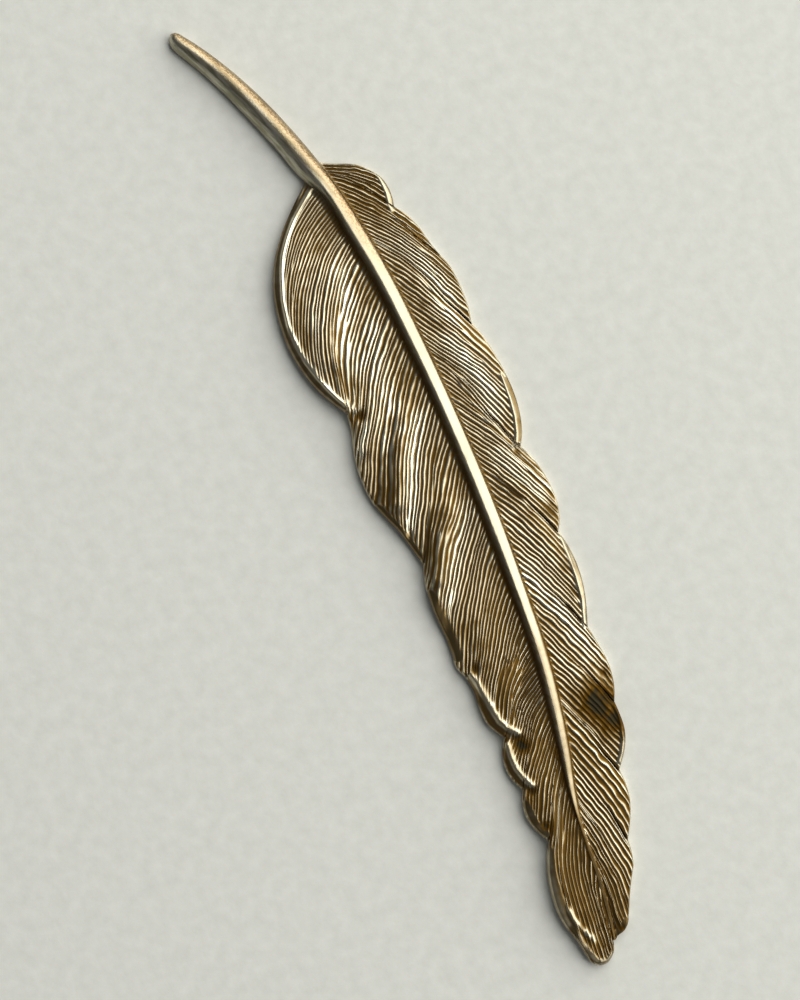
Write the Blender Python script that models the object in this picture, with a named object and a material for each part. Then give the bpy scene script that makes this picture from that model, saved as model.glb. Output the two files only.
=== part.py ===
# Metal feather ornament: one cast piece with a bare quill, a raised shaft and two lobed vanes.
# It lies on its flat back. The quill's end is at +Y and the tip at -Y. Tables are in millimetres.

import bmesh
import bpy
import numpy as np

MM = 0.001
CENTRE = (6.798, 0.156)         # middle of the outline's box in the tables' own coordinates

QUILL_END = 50.35
TIP_END = -48.3                 # where the shaft runs out in the last notch
VANE_TOP_LEFT = 32.1
VANE_TOP_RIGHT = 32.5
QUILL_TIP_ROWS = (50.35, 50.2, 49.9, 49.4)    # rows that round off the quill's end
QUILL_FROM = 48.4
QUILL_STEP = 1.5
BARB_STEP = 0.7                 # three rows make one lock of barbs, measured along the shaft
CLOSE_BARBS = (-29.0, -34.5, 0.4)   # the tip lobe's fan needs closer rows

EDGE_HEIGHT = 0.70
EDGE_ROUND = {-1: 0.28, 1: 0.16}    # how far the rounded edge reaches into each vane
LOCK_SHAPE = (0.6, 1.0, -1.0)   # a lock swells over two rows and drops at the third
LOCK_HEIGHT = 0.05
LOCK_START = 0.12               # locks rise over this share of a barb's length
FOLD_GAIN = {-1: 1.05, 1: 0.85}
FOLD_START = 0.45               # folds rise over this share of a barb's length
SHINGLE_HEIGHT = 0.16
SHINGLE_REACH = 1.8
SHINGLE_START = 0.45
SHINGLE_FULL = 0.95
FOOT_START = 0.06               # the vane meets the shaft's foot over this share
EDGE_FOLLOWS_FOLDS = 0.5
RIM_SAMPLES = 300
TOP_SAMPLES = 40
SLOPE_STEP = 0.05               # the shaft's direction is read between two points this far apart
WELD = 0.00002
SMOOTH_ANGLE = 40               # edges sharper than this stay sharp, in degrees
FAR = 99.0

# Each vane's outline, lobe by lobe, from the quill towards the tip.
LEFT_LOBES = [
    [(-2.36, 17.8), (-2.23, 16.0), (-1.98, 14.4), (-1.4, 12.4), (-0.7, 10.9), (0.15, 9.4)],
    [(0.15, 9.4), (-0.1, 7.9), (-0.75, 5.9), (-1.2, 3.9), (-1.3, 2.0), (-1.15, 0.2),
     (-0.6, -1.6), (0.0, -3.4), (0.4, -5.3), (0.75, -7.1)],
    [(0.75, -7.1), (0.15, -8.8), (-0.15, -10.6), (-0.25, -12.6), (-0.22, -14.6),
     (-0.38, -16.4), (-0.52, -17.7), (-0.1, -18.9)],
    [(-0.1, -18.9), (0.05, -20.3), (-0.15, -22.4), (-0.1, -23.9), (0.35, -25.0), (0.85, -25.8)],
    [(0.85, -25.8), (0.15, -27.0), (-0.28, -28.6), (-0.2, -29.8), (0.35, -31.2)],
    [(0.35, -31.2), (-0.25, -32.5), (-0.45, -33.7), (-0.25, -35.0), (0.5, -36.8)],
    [(0.5, -36.8), (-0.35, -38.3), (-0.95, -39.8), (-1.35, -41.4), (-1.6, -43.4), (-1.5, -45.0),
     (-1.05, -46.8), (-0.8, -48.6), (-0.6, -49.35), (-0.25, -49.8), (0.35, -50.08),
     (0.9, -50.02), (1.3, -49.8), (1.8, -49.35), (2.1, -48.8)],
]
RIGHT_LOBES = [
    [(12.3, 30.1), (12.95, 29.0), (13.17, 27.8), (13.1, 26.7), (12.9, 25.9)],
    [(12.9, 25.9), (13.7, 24.6), (14.25, 23.1), (14.6, 21.3), (15.0, 19.7)],
    [(15.0, 19.7), (15.4, 18.5), (15.52, 17.0), (15.5, 15.4), (15.35, 13.8), (15.0, 12.4)],
    [(15.0, 12.4), (15.45, 10.8), (15.8, 8.5), (15.95, 6.3), (15.9, 4.3), (15.5, 2.0),
     (14.9, 0.4), (14.3, -0.6)],
    [(14.3, -0.6), (14.9, -2.2), (15.25, -3.9), (15.35, -5.6), (15.15, -7.5), (14.7, -8.8),
     (14.15, -9.7)],
    [(14.15, -9.7), (14.4, -11.0), (14.5, -12.7), (14.38, -14.4), (13.95, -16.4), (13.4, -18.0),
     (12.85, -19.4)],
    [(12.85, -19.4), (13.05, -21.0), (13.2, -22.9), (13.1, -24.4), (12.75, -25.8),
     (12.15, -27.1)],
    [(12.15, -27.1), (12.12, -28.5), (11.95, -29.9), (11.5, -31.1), (10.8, -32.2), (9.8, -33.4)],
    [(9.8, -33.4), (9.8, -34.9), (9.5, -36.5), (8.8, -38.1), (7.7, -39.9)],
    [(7.7, -39.9), (7.55, -41.0), (7.2, -42.3), (6.4, -43.6), (5.5, -45.1), (4.7, -46.6),
     (4.15, -47.5), (3.7, -47.85), (2.8, -48.1)],
]

# Centre line of the shaft: x, y, half width.
SHAFT = [
    (0.15, 50.35, 0.16), (0.2, 50.2, 0.45), (0.28, 49.9, 0.66), (0.42, 49.4, 0.80),
    (1.17, 48.0, 0.92), (2.23, 46.0, 1.0), (3.15, 44.0, 1.08), (4.70, 40.0, 1.19),
    (5.98, 36.0, 1.22), (6.80, 33.0, 1.22), (7.65, 30.3, 0.95), (8.40, 25.0, 1.00),
    (8.90, 20.0, 0.97), (9.12, 14.0, 0.93), (9.18, 8.0, 0.90), (9.05, 1.0, 0.90),
    (8.72, -6.0, 0.90), (8.20, -12.8, 0.82), (7.50, -20.0, 0.76), (6.63, -25.0, 0.70),
    (5.53, -30.0, 0.56), (4.72, -33.2, 0.38), (4.15, -36.2, 0.22), (3.85, -38.5, 0.20),
    (3.70, -41.0, 0.20), (3.35, -43.5, 0.20), (2.95, -45.8, 0.20), (2.37, -48.3, 0.13),
]

# Guide barbs: y on the shaft, place on the outline (2.0 is the second notch), angles below
# the sideways direction at the shaft and at the outline in degrees, pull of the curve's ends.
LEFT_BARBS = [
    (32.1, 0.00, 38, 87, 0.43), (30.2, 0.12, 24, 73, 0.37), (28.0, 0.26, 21, 71, 0.37),
    (26.0, 0.64, 27, 74, 0.37), (24.0, 0.95, 36, 77, 0.37), (23.5, 1.00, 36, 77, 0.37),
    (22.0, 1.05, 38, 78, 0.37), (20.0, 1.11, 36, 68, 0.37), (18.0, 1.22, 42, 57, 0.37),
    (16.0, 1.41, 45, 60, 0.37), (14.0, 1.53, 43, 60, 0.37), (12.0, 1.69, 48, 64, 0.37),
    (10.0, 1.80, 50, 70, 0.37), (8.0, 1.86, 49, 64, 0.37), (6.0, 1.94, 53, 59, 0.37),
    (4.9, 2.00, 51, 57, 0.37), (4.0, 2.05, 48, 56, 0.37), (2.0, 2.21, 48, 50, 0.37),
    (0.0, 2.38, 53, 55, 0.37), (-2.0, 2.55, 54, 61, 0.37), (-4.0, 2.71, 51, 64, 0.37),
    (-6.0, 2.92, 48, 67, 0.37), (-6.8, 3.00, 48, 66, 0.37), (-10.0, 3.38, 48, 64, 0.37),
    (-14.0, 3.77, 47, 62, 0.37), (-17.2, 3.93, 42, 60, 0.37), (-19.2, 4.00, 27, 52, 0.37),
    (-22.3, 4.55, 32, 56, 0.37), (-24.0, 5.00, 36, 62, 0.37), (-26.0, 5.47, 40, 58, 0.37),
    (-28.0, 5.80, 50, 59, 0.37), (-29.8, 6.00, 54, 55, 0.37), (-30.6, 6.19, 54, 57, 0.37),
    (-31.3, 6.40, 54, 66, 0.37), (-31.9, 6.56, 53, 76, 0.37), (-32.7, 6.74, 53, 86, 0.37),
    (-34.0, 6.80, 52, 88, 0.37), (-36.0, 6.86, 57, 82, 0.37), (-38.0, 6.905, 66, 82, 0.37),
    (-40.5, 6.945, 68, 82, 0.37), (-44.0, 6.975, 68, 82, 0.30), (-46.5, 6.99, 70, 78, 0.15),
    (-48.3, 7.00, 66, 66, 0.05),
]
RIGHT_BARBS = [
    (32.5, 0.00, 33, 52, 0.46), (32.0, 0.30, 30, 58, 0.40), (31.5, 0.72, 29, 68, 0.36),
    (31.1, 1.00, 34, 56, 0.34), (30.0, 1.61, 42, 58, 0.37), (28.9, 2.00, 45, 65, 0.37),
    (28.0, 2.26, 47, 68, 0.37), (26.0, 2.52, 44, 66, 0.37), (24.0, 2.86, 48, 65, 0.37),
    (23.3, 3.00, 50, 65, 0.37), (22.0, 3.15, 54, 65, 0.37), (20.0, 3.34, 58, 68, 0.37),
    (18.0, 3.48, 60, 68, 0.37), (16.0, 3.58, 61, 71, 0.37), (14.0, 3.70, 60, 74, 0.37),
    (12.0, 3.88, 58, 76, 0.37), (10.7, 4.00, 56, 66, 0.37), (10.0, 4.08, 55, 60, 0.37),
    (8.0, 4.24, 54, 61, 0.37), (6.0, 4.39, 56, 65, 0.37), (4.0, 4.64, 60, 71, 0.37),
    (2.0, 4.82, 60, 71, 0.37), (-0.3, 5.00, 60, 71, 0.37), (-2.0, 5.33, 60, 76, 0.37),
    (-4.0, 5.55, 61, 75, 0.37), (-6.0, 5.76, 65, 80, 0.37), (-8.0, 5.86, 63, 77, 0.37),
    (-10.6, 6.00, 60, 71, 0.37), (-12.0, 6.28, 60, 71, 0.37), (-14.0, 6.63, 63, 71, 0.37),
    (-16.0, 6.87, 66, 71, 0.37), (-17.2, 7.00, 68, 74, 0.37), (-18.0, 7.11, 68, 76, 0.37),
    (-20.0, 7.43, 64, 71, 0.37), (-22.0, 7.63, 63, 66, 0.37), (-25.1, 8.00, 69, 72, 0.37),
    (-26.0, 8.25, 72, 79, 0.37), (-28.0, 8.60, 72, 83, 0.37), (-30.7, 9.00, 73, 83, 0.37),
    (-32.0, 9.15, 75, 81, 0.37), (-34.0, 9.41, 78, 89, 0.37), (-36.0, 9.70, 78, 97, 0.37),
    (-38.0, 9.86, 78, 95, 0.37), (-40.0, 9.925, 82, 92, 0.37), (-43.0, 9.955, 88, 92, 0.25),
    (-45.5, 9.98, 90, 90, 0.12), (-47.3, 9.993, 80, 80, 0.05), (-48.3, 10.0, 0, 0, 0.05),
]

# Heights above the back, by y on the shaft: the crest of the shaft, and its foot.
SHAFT_CREST = [
    (50.35, 0.9), (50.2, 1.15), (49.9, 1.35), (49.4, 1.5), (47.0, 1.65), (40.0, 1.85),
    (33.0, 2.0), (26.0, 2.05), (15.0, 2.05), (0.0, 2.0), (-15.0, 1.9), (-25.0, 1.75),
    (-33.0, 1.55), (-35.4, 1.4), (-36.6, 1.2), (-40.0, 1.15), (-48.3, 0.86),
]
SHAFT_FOOT = [
    (50.35, 0.5), (48.0, 0.55), (34.0, 0.6), (32.3, 0.75), (30.0, 1.0), (0.0, 1.05),
    (-30.0, 1.05), (-40.0, 1.1), (-48.3, 0.8),
]

# Rise of the smooth vane over the shaft's foot, from the shaft (0) to the outline (1).
LEFT_DOME = [(0.0, 0.0), (0.1, 0.0), (0.35, 0.25), (0.62, 0.5), (0.85, 0.42), (1.0, 0.15)]
RIGHT_DOME = [(0.0, 0.0), (0.15, 0.1), (0.35, 0.25), (0.5, 0.27), (0.75, 0.08), (1.0, -0.25)]

# How much of that rise the vanes have, by y on the shaft.
LEFT_DOME_GAIN = [
    (32.5, 1.0), (-14.0, 1.0), (-20.0, 0.8), (-34.0, 0.7), (-39.0, 0.0), (-48.3, 0.0),
]
RIGHT_DOME_GAIN = [
    (32.5, 0.4), (26.0, 0.8), (20.0, 1.0), (0.0, 1.0), (-12.0, 0.3), (-30.0, 0.3), (-36.0, 0.2),
    (-39.0, 0.0), (-48.3, 0.0),
]

# Folds along the barbs: height added in the vane's outer part, by y on the shaft.
LEFT_FOLDS = [
    (32.1, 0.0), (28.0, 0.1), (24.3, 0.3), (21.8, 0.15), (19.3, -0.1), (17.5, -0.05),
    (15.7, 0.1), (14.0, 0.0), (12.3, -0.05), (10.5, 0.1), (9.0, 0.0), (7.6, -0.2),
    (5.0, -0.2), (2.0, 0.05), (0.2, 0.2), (-1.8, -0.05), (-4.0, -0.3), (-8.0, -0.1),
    (-14.0, 0.05), (-18.6, 0.2), (-20.0, -0.05), (-22.0, -0.2), (-24.2, -0.05), (-26.5, 0.1),
    (-29.5, 0.15), (-31.5, 0.25), (-33.0, 0.1), (-36.0, 0.0), (-48.3, 0.0),
]
RIGHT_FOLDS = [
    (32.5, 0.0), (31.2, 0.1), (30.5, -0.05), (27.0, 0.1), (23.5, 0.0), (19.0, 0.1), (13.0, 0.1),
    (10.9, 0.0), (9.5, -0.15), (6.0, 0.1), (3.0, 0.05), (0.0, 0.1), (-1.2, -0.05), (-4.0, 0.1),
    (-8.0, -0.1), (-10.3, -0.05), (-13.0, -0.1), (-16.5, 0.0), (-20.0, 0.15), (-23.0, 0.0),
    (-25.0, -0.15), (-27.5, 0.0), (-30.3, 0.1), (-32.5, 0.0), (-36.0, 0.05), (-48.3, 0.0),
]

# Swells of the left vane along its barbs: a line, height, and reach on its two sides.
SWELLS = [
    ([(6.6, 23.6), (4.6, 22.0), (2.8, 19.6), (1.4, 16.6), (0.5, 13.8)], 0.35, 2.8, 2.0),
    ([(4.8, 10.6), (3.2, 8.6), (1.6, 6.8), (-0.1, 4.9)], 0.28, 1.6, 1.5),
    ([(6.2, 8.2), (4.2, 5.2), (2.2, 1.6), (0.4, -1.6)], 0.4, 2.6, 1.9),
    ([(6.8, -2.4), (4.6, -4.6), (2.6, -7.2), (0.8, -9.8)], 0.35, 2.6, 1.4),
]
SWELL_ENDS = (0.2, 0.08)        # share of a swell's length over which its two ends fade

# Rolled rims: lines on which the vane carries a raised bead, with height and width.
BEADS = [
    ([(5.9, 30.6), (3.4, 28.8), (0.9, 26.0), (-0.9, 21.9), (-1.45, 17.5), (-0.95, 13.9),
      (0.0, 11.1), (1.3, 9.15)], 0.22, 0.26),
    ([(12.75, 29.3), (12.75, 27.3), (12.5, 25.7)], 0.12, 0.26),
    ([(15.5, 6.5), (15.0, 2.3), (14.1, 0.0), (13.75, -0.35)], 0.17, 0.24),
    ([(14.15, -10.4), (13.85, -14.5), (13.45, -16.7), (12.55, -19.2)], 0.14, 0.24),
    ([(12.0, -27.5), (11.35, -30.8), (10.1, -32.6)], 0.16, 0.24),
    ([(0.55, -18.9), (0.9, -21.7), (1.15, -24.1), (2.3, -25.9)], 0.27, 0.3),
    ([(0.9, -26.6), (0.7, -28.6), (1.4, -31.1)], 0.25, 0.28),
    ([(-0.45, -43.6), (-0.1, -45.8), (0.6, -47.3)], 0.16, 0.26),
]

# Hollows: x, y, radius, depth.
HOLLOWS = [
    (1.3, 8.6, 0.5, 0.3), (2.1, -27.2, 0.9, 0.35), (1.2, -31.8, 0.45, 0.3), (0.9, -35.3, 0.6, 0.2),
    (12.2, -24.1, 0.5, 0.25), (10.7, -27.2, 2.2, 0.2), (0.2, 1.0, 1.4, 0.1), (3.7, -4.4, 1.1, 0.05),
    (1.6, -14.6, 1.7, 0.1), (14.4, -7.6, 1.1, 0.12), (4.9, -45.6, 1.1, 0.1),
]
HOLLOW_FLOOR = 0.4              # share of the radius that is flat bottom
HOLLOW_SLOPE = 0.9

# Where the vertices stand across a vane (0 at the shaft) and across the shaft (-1 to 1).
VANE_COLUMNS = [0.0, 0.07, 0.18, 0.3, 0.42, 0.54, 0.65, 0.75, 0.84, 0.91, 0.965, 1.0]
SHAFT_COLUMNS = [-1.0, -0.7, -0.36, 0.0, 0.4, 0.8, 1.0]
RIB_PROFILE = [0.0, 0.61, 0.99, 0.93, 0.82, 0.59, 0.0]
QUILL_PROFILE = [0.0, 0.56, 0.88, 0.97, 0.84, 0.57, 0.0]
QUILL_BLEND = (34.0, 30.0)      # the quill's round section turns into the rib's between these


# Smooth table reading

def hermite(xs, ys, slopes, x):
    k = np.clip(np.searchsorted(xs, x, side="right") - 1, 0, len(xs) - 2)
    h = xs[k + 1] - xs[k]
    t = np.clip((x - xs[k]) / h, 0, 1)
    ends = ys[k] * (1 + 2 * t) * (1 - t) ** 2 + ys[k + 1] * t * t * (3 - 2 * t)
    return ends + h * t * (1 - t) * (slopes[k] * (1 - t) - slopes[k + 1] * t)


def steady(table, column, x):
    # Never swings past the table's own values. The table runs down in its first column.
    xs = np.array([-row[0] for row in table], float)
    ys = np.array([row[column] for row in table], float)
    h = np.diff(xs)
    d = np.diff(ys) / h
    slopes = np.r_[d[0], np.zeros(len(xs) - 2), d[-1]]
    same = d[:-1] * d[1:] > 0
    before = np.where(same, d[:-1], 1.0)
    after = np.where(same, d[1:], 1.0)
    w1 = 2 * h[1:] + h[:-1]
    w2 = h[1:] + 2 * h[:-1]
    slopes[1:-1] = np.where(same, (w1 + w2) / (w1 / before + w2 / after), 0.0)
    return hermite(xs, ys, slopes, -np.asarray(x, float))


def flowing(xs, ys, x):
    xs = np.asarray(xs, float)
    ys = np.asarray(ys, float)
    h = np.diff(xs)
    d = np.diff(ys) / h
    middle = (d[:-1] * h[1:] + d[1:] * h[:-1]) / (h[:-1] + h[1:])
    return hermite(xs, ys, np.r_[d[0], middle, d[-1]], x)


def ease(x):
    t = np.clip(x, 0, 1)
    return t * t * (3 - 2 * t)


# The plan

def outline(side, place):
    lobes = LEFT_LOBES if side < 0 else RIGHT_LOBES
    x = np.zeros_like(place)
    y = np.zeros_like(place)
    index = np.clip(np.floor(place).astype(int), 0, len(lobes) - 1)
    for i, lobe in enumerate(lobes):
        points = np.array(lobe)
        run = np.r_[0, np.cumsum(np.hypot(*np.diff(points, axis=0).T))]
        here = index == i
        x[here] = flowing(run / run[-1], points[:, 0], place[here] - i)
        y[here] = flowing(run / run[-1], points[:, 1], place[here] - i)
    return x, y


def shaft_line(y):
    down = [-row[1] for row in SHAFT]
    return flowing(down, [row[0] for row in SHAFT], -y)


def shaft_edge(side, y):
    above = np.minimum(y + SLOPE_STEP, QUILL_END)
    below = np.maximum(y - SLOPE_STEP, TIP_END)
    tx = shaft_line(below) - shaft_line(above)
    ty = below - above
    length = np.hypot(tx, ty)
    half = flowing([-row[1] for row in SHAFT], [row[2] for row in SHAFT], -y)
    return shaft_line(y) - side * half * ty / length, y + side * half * tx / length


def bezier(p0, p1, p2, p3, v):
    return p0 * (1 - v) ** 3 + 3 * p1 * v * (1 - v) ** 2 + 3 * p2 * v * v * (1 - v) + p3 * v ** 3


def barb(side, y, v):
    table = LEFT_BARBS if side < 0 else RIGHT_BARBS
    sx, sy = shaft_edge(side, y)
    rx, ry = outline(side, steady(table, 1, y))
    start = np.radians(steady(table, 2, y))
    finish = np.radians(steady(table, 3, y))
    pull = steady(table, 4, y) * np.hypot(rx - sx, ry - sy)
    x = bezier(sx, sx + side * pull * np.cos(start), rx - side * pull * np.cos(finish), rx, v)
    yy = bezier(sy, sy - pull * np.sin(start), ry + pull * np.sin(finish), ry, v)
    return x, yy


def nearest(x, y, line):
    # Distance to a line through points, on which hand of it, and how far along it.
    best = np.full(x.shape, FAR)
    hand = np.ones(x.shape)
    along = np.zeros(x.shape)
    points = np.array(line)
    run = np.r_[0, np.cumsum(np.hypot(*np.diff(points, axis=0).T))]
    for i in range(len(points) - 1):
        ax, ay = points[i]
        dx, dy = points[i + 1] - points[i]
        t = np.clip(((x - ax) * dx + (y - ay) * dy) / (dx * dx + dy * dy), 0, 1)
        away = np.hypot(x - ax - t * dx, y - ay - t * dy)
        closer = away < best
        best = np.where(closer, away, best)
        hand = np.where(closer, np.sign(dx * (y - ay) - dy * (x - ax)), hand)
        along = np.where(closer, (run[i] + t * (run[i + 1] - run[i])) / run[-1], along)
    return best, hand, along


# The heights

def notches(side):
    table = LEFT_BARBS if side < 0 else RIGHT_BARBS
    return [row[0] for row in table[1:-1] if row[1] == round(row[1])]


def shingles(side, y, v):
    # Each lobe's lower end lies over the start of the next lobe.
    rise = np.zeros(y.shape)
    for notch in notches(side):
        over = np.where(y >= notch, 1.0, -1.0)
        rise += over * np.exp(-np.abs(y - notch) / SHINGLE_REACH)
    return SHINGLE_HEIGHT * rise * ease((v - SHINGLE_START) / (SHINGLE_FULL - SHINGLE_START))


def swells(x, y):
    rise = np.zeros(x.shape)
    for line, height, gentle, steep in SWELLS:
        away, hand, along = nearest(x, y, line)
        reach = np.where(hand > 0, steep, gentle)
        taper = ease(np.minimum(along / SWELL_ENDS[0], (1 - along) / SWELL_ENDS[1]))
        rise += height * taper * (0.5 + 0.5 * np.cos(np.pi * np.clip(away / reach, 0, 1)))
    return rise


def hollows(x, y):
    fall = np.zeros(x.shape)
    for cx, cy, radius, depth in HOLLOWS:
        out = np.hypot(x - cx, y - cy) / radius
        fall += depth * (1 - ease((out - HOLLOW_FLOOR) / HOLLOW_SLOPE))
    return fall


def beads(x, y):
    rise = np.zeros(x.shape)
    for line, height, width in BEADS:
        rise = np.maximum(rise, height * np.exp(-(nearest(x, y, line)[0] / width) ** 2))
    return rise


def edge_rounding(side, x, y):
    # 0 on the vane's outline and 1 where the rounded edge ends.
    top = VANE_TOP_LEFT if side < 0 else VANE_TOP_RIGHT
    lobes = LEFT_LOBES if side < 0 else RIGHT_LOBES
    across = np.linspace(0, 1, TOP_SAMPLES)
    top_edge = list(zip(*barb(side, np.full(TOP_SAMPLES, top), across)))
    rim = list(zip(*outline(side, np.linspace(0, float(len(lobes)), RIM_SAMPLES))))
    inside = np.minimum(nearest(x, y, rim)[0], nearest(x, y, top_edge)[0])
    return 1 - (1 - np.clip(inside / EDGE_ROUND[side], 0, 1)) ** 2


def vane_height(side, y, v, x, yy, lock):
    dome = LEFT_DOME if side < 0 else RIGHT_DOME
    gain = LEFT_DOME_GAIN if side < 0 else RIGHT_DOME_GAIN
    folds = LEFT_FOLDS if side < 0 else RIGHT_FOLDS
    foot = steady(SHAFT_FOOT, 1, y)
    rise = steady([(-row[0], row[1]) for row in dome], 1, -v) * steady(gain, 1, y)
    outer = FOLD_GAIN[side] * steady(folds, 1, y) * ease(v / FOLD_START) + shingles(side, y, v)
    surface = foot + rise + outer - hollows(x, yy) + lock * ease(v / LOCK_START)
    if side < 0:
        surface = surface + swells(x, yy)
    edge = EDGE_HEIGHT + EDGE_FOLLOWS_FOLDS * outer
    full = edge_rounding(side, x, yy)
    height = edge + (surface - edge) * full + beads(x, yy) * full
    return foot + (height - foot) * ease(v / FOOT_START)


# The mesh

def stations(side):
    # Rows of barbs by their y on the shaft, with one row exactly at each notch.
    top = VANE_TOP_LEFT if side < 0 else VANE_TOP_RIGHT
    close_from, close_to, close_step = CLOSE_BARBS
    rows = np.r_[np.arange(VANE_TOP_RIGHT, close_from, -BARB_STEP),
                 np.arange(close_from, close_to, -close_step),
                 np.arange(close_to, TIP_END + 0.5 * BARB_STEP, -BARB_STEP), TIP_END]
    rows[0] = top
    for notch in notches(side):
        rows[np.argmin(np.abs(rows - notch))] = notch
    return rows


def add_sheet(bm, points):
    # A flat grid whose rows and columns are moved to the given points.
    rows, columns, _ = points.shape
    made = bmesh.ops.create_grid(bm, x_segments=columns - 1, y_segments=rows - 1, size=1.0)
    for vert in made["verts"]:
        i = round((1 - vert.co.y) / 2 * (rows - 1))
        j = round((vert.co.x + 1) / 2 * (columns - 1))
        vert.co = points[i, j] * MM


def vane_points(side):
    rows = stations(side)
    y, v = np.meshgrid(rows, VANE_COLUMNS, indexing="ij")
    x, yy = barb(side, y, v)
    lock = LOCK_HEIGHT * np.array(LOCK_SHAPE)[np.arange(len(rows)) % len(LOCK_SHAPE)][:, None]
    return np.stack([x, yy, vane_height(side, y, v, x, yy, lock)], axis=-1)


def shaft_points():
    quill = np.r_[QUILL_TIP_ROWS, np.arange(QUILL_FROM, VANE_TOP_RIGHT + 0.5, -QUILL_STEP)]
    left = np.r_[quill, stations(-1)]
    right = np.r_[quill, stations(1)]
    lx, ly = shaft_edge(-1, left)
    rx, ry = shaft_edge(1, right)
    w = (np.array(SHAFT_COLUMNS) + 1) / 2
    foot = np.outer(steady(SHAFT_FOOT, 1, left), 1 - w) + np.outer(steady(SHAFT_FOOT, 1, right), w)
    middle = ((left + right) / 2)[:, None]
    rib = ease((QUILL_BLEND[0] - middle) / (QUILL_BLEND[0] - QUILL_BLEND[1]))
    section = np.array(QUILL_PROFILE) * (1 - rib) + np.array(RIB_PROFILE) * rib
    z = foot + (steady(SHAFT_CREST, 1, middle) - foot) * section
    x = np.outer(lx, 1 - w) + np.outer(rx, w)
    y = np.outer(ly, 1 - w) + np.outer(ry, w)
    return np.stack([x, y, z], axis=-1)


def close_back(bm):
    # The open edge runs straight down to the flat back, which one face closes.
    rim = [edge for edge in bm.edges if edge.is_boundary]
    made = bmesh.ops.extrude_edge_only(bm, edges=rim)["geom"]
    low = [item for item in made if isinstance(item, bmesh.types.BMVert)]
    for vert in low:
        vert.co.z = 0.0
    bmesh.ops.holes_fill(bm, edges=[edge for edge in bm.edges if edge.is_boundary], sides=0)


def build_feather(collection, material):
    bm = bmesh.new()
    add_sheet(bm, shaft_points())
    add_sheet(bm, vane_points(-1))
    add_sheet(bm, vane_points(1))
    bmesh.ops.remove_doubles(bm, verts=bm.verts, dist=WELD)
    close_back(bm)
    bmesh.ops.translate(bm, verts=bm.verts, vec=(-CENTRE[0] * MM, -CENTRE[1] * MM, 0.0))
    bmesh.ops.recalc_face_normals(bm, faces=bm.faces)
    mesh = bpy.data.meshes.new("feather")
    bm.to_mesh(mesh)
    bm.free()
    mesh.materials.append(material)
    mesh.shade_smooth()
    mesh.set_sharp_from_angle(angle=np.radians(SMOOTH_ANGLE))
    feather = bpy.data.objects.new("feather", mesh)
    collection.objects.link(feather)
    return feather


def aged_brass():
    material = bpy.data.materials.new("aged brass")
    material.use_nodes = True
    shader = material.node_tree.nodes["Principled BSDF"]
    shader.inputs["Base Color"].default_value = (0.45, 0.32, 0.14, 1.0)
    shader.inputs["Metallic"].default_value = 1.0
    shader.inputs["Roughness"].default_value = 0.35
    return material


def main():
    for old in list(bpy.data.objects):
        bpy.data.objects.remove(old, do_unlink=True)
    collection = bpy.data.collections.new("metal feather ornament")
    bpy.context.scene.collection.children.link(collection)
    feather = build_feather(collection, aged_brass())
    spots = np.array([vert.co[:] for vert in feather.data.vertices]) / MM
    print("box in mm", spots.min(axis=0).round(3), spots.max(axis=0).round(3))


main()
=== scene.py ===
# %% [markdown]
# # A cast metal feather
# The object is one thin plate of brass-coloured metal, about 100 mm long. It has a bare curved
# quill, a raised shaft and two lobed vanes, engraved with more than two hundred fine barbs.
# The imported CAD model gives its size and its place, so it is loaded first.

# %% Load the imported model
import math

import bpy
import numpy as np
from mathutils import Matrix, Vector


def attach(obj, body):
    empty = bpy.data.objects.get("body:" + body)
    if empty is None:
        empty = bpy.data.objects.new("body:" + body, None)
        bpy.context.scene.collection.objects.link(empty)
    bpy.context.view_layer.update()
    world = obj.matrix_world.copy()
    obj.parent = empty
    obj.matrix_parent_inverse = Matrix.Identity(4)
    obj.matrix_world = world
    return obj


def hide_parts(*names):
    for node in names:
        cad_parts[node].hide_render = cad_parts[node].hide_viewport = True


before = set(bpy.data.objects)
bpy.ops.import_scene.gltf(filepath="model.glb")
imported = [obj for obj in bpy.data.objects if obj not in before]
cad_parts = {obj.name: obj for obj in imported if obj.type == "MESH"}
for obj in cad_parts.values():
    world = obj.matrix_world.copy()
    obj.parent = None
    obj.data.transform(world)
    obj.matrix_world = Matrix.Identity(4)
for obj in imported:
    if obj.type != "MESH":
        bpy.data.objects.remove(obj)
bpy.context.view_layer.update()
MM = 0.001


# %% [markdown]
# ## The plan of the feather
# A feather is a curved shaft with barbs that leave it on both sides. On the real piece the
# outline is a row of rounded lobes with a notch between each two. The plan is drawn here as a
# few tables in millimetres, because curves through measured points are easy to correct later.

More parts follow.
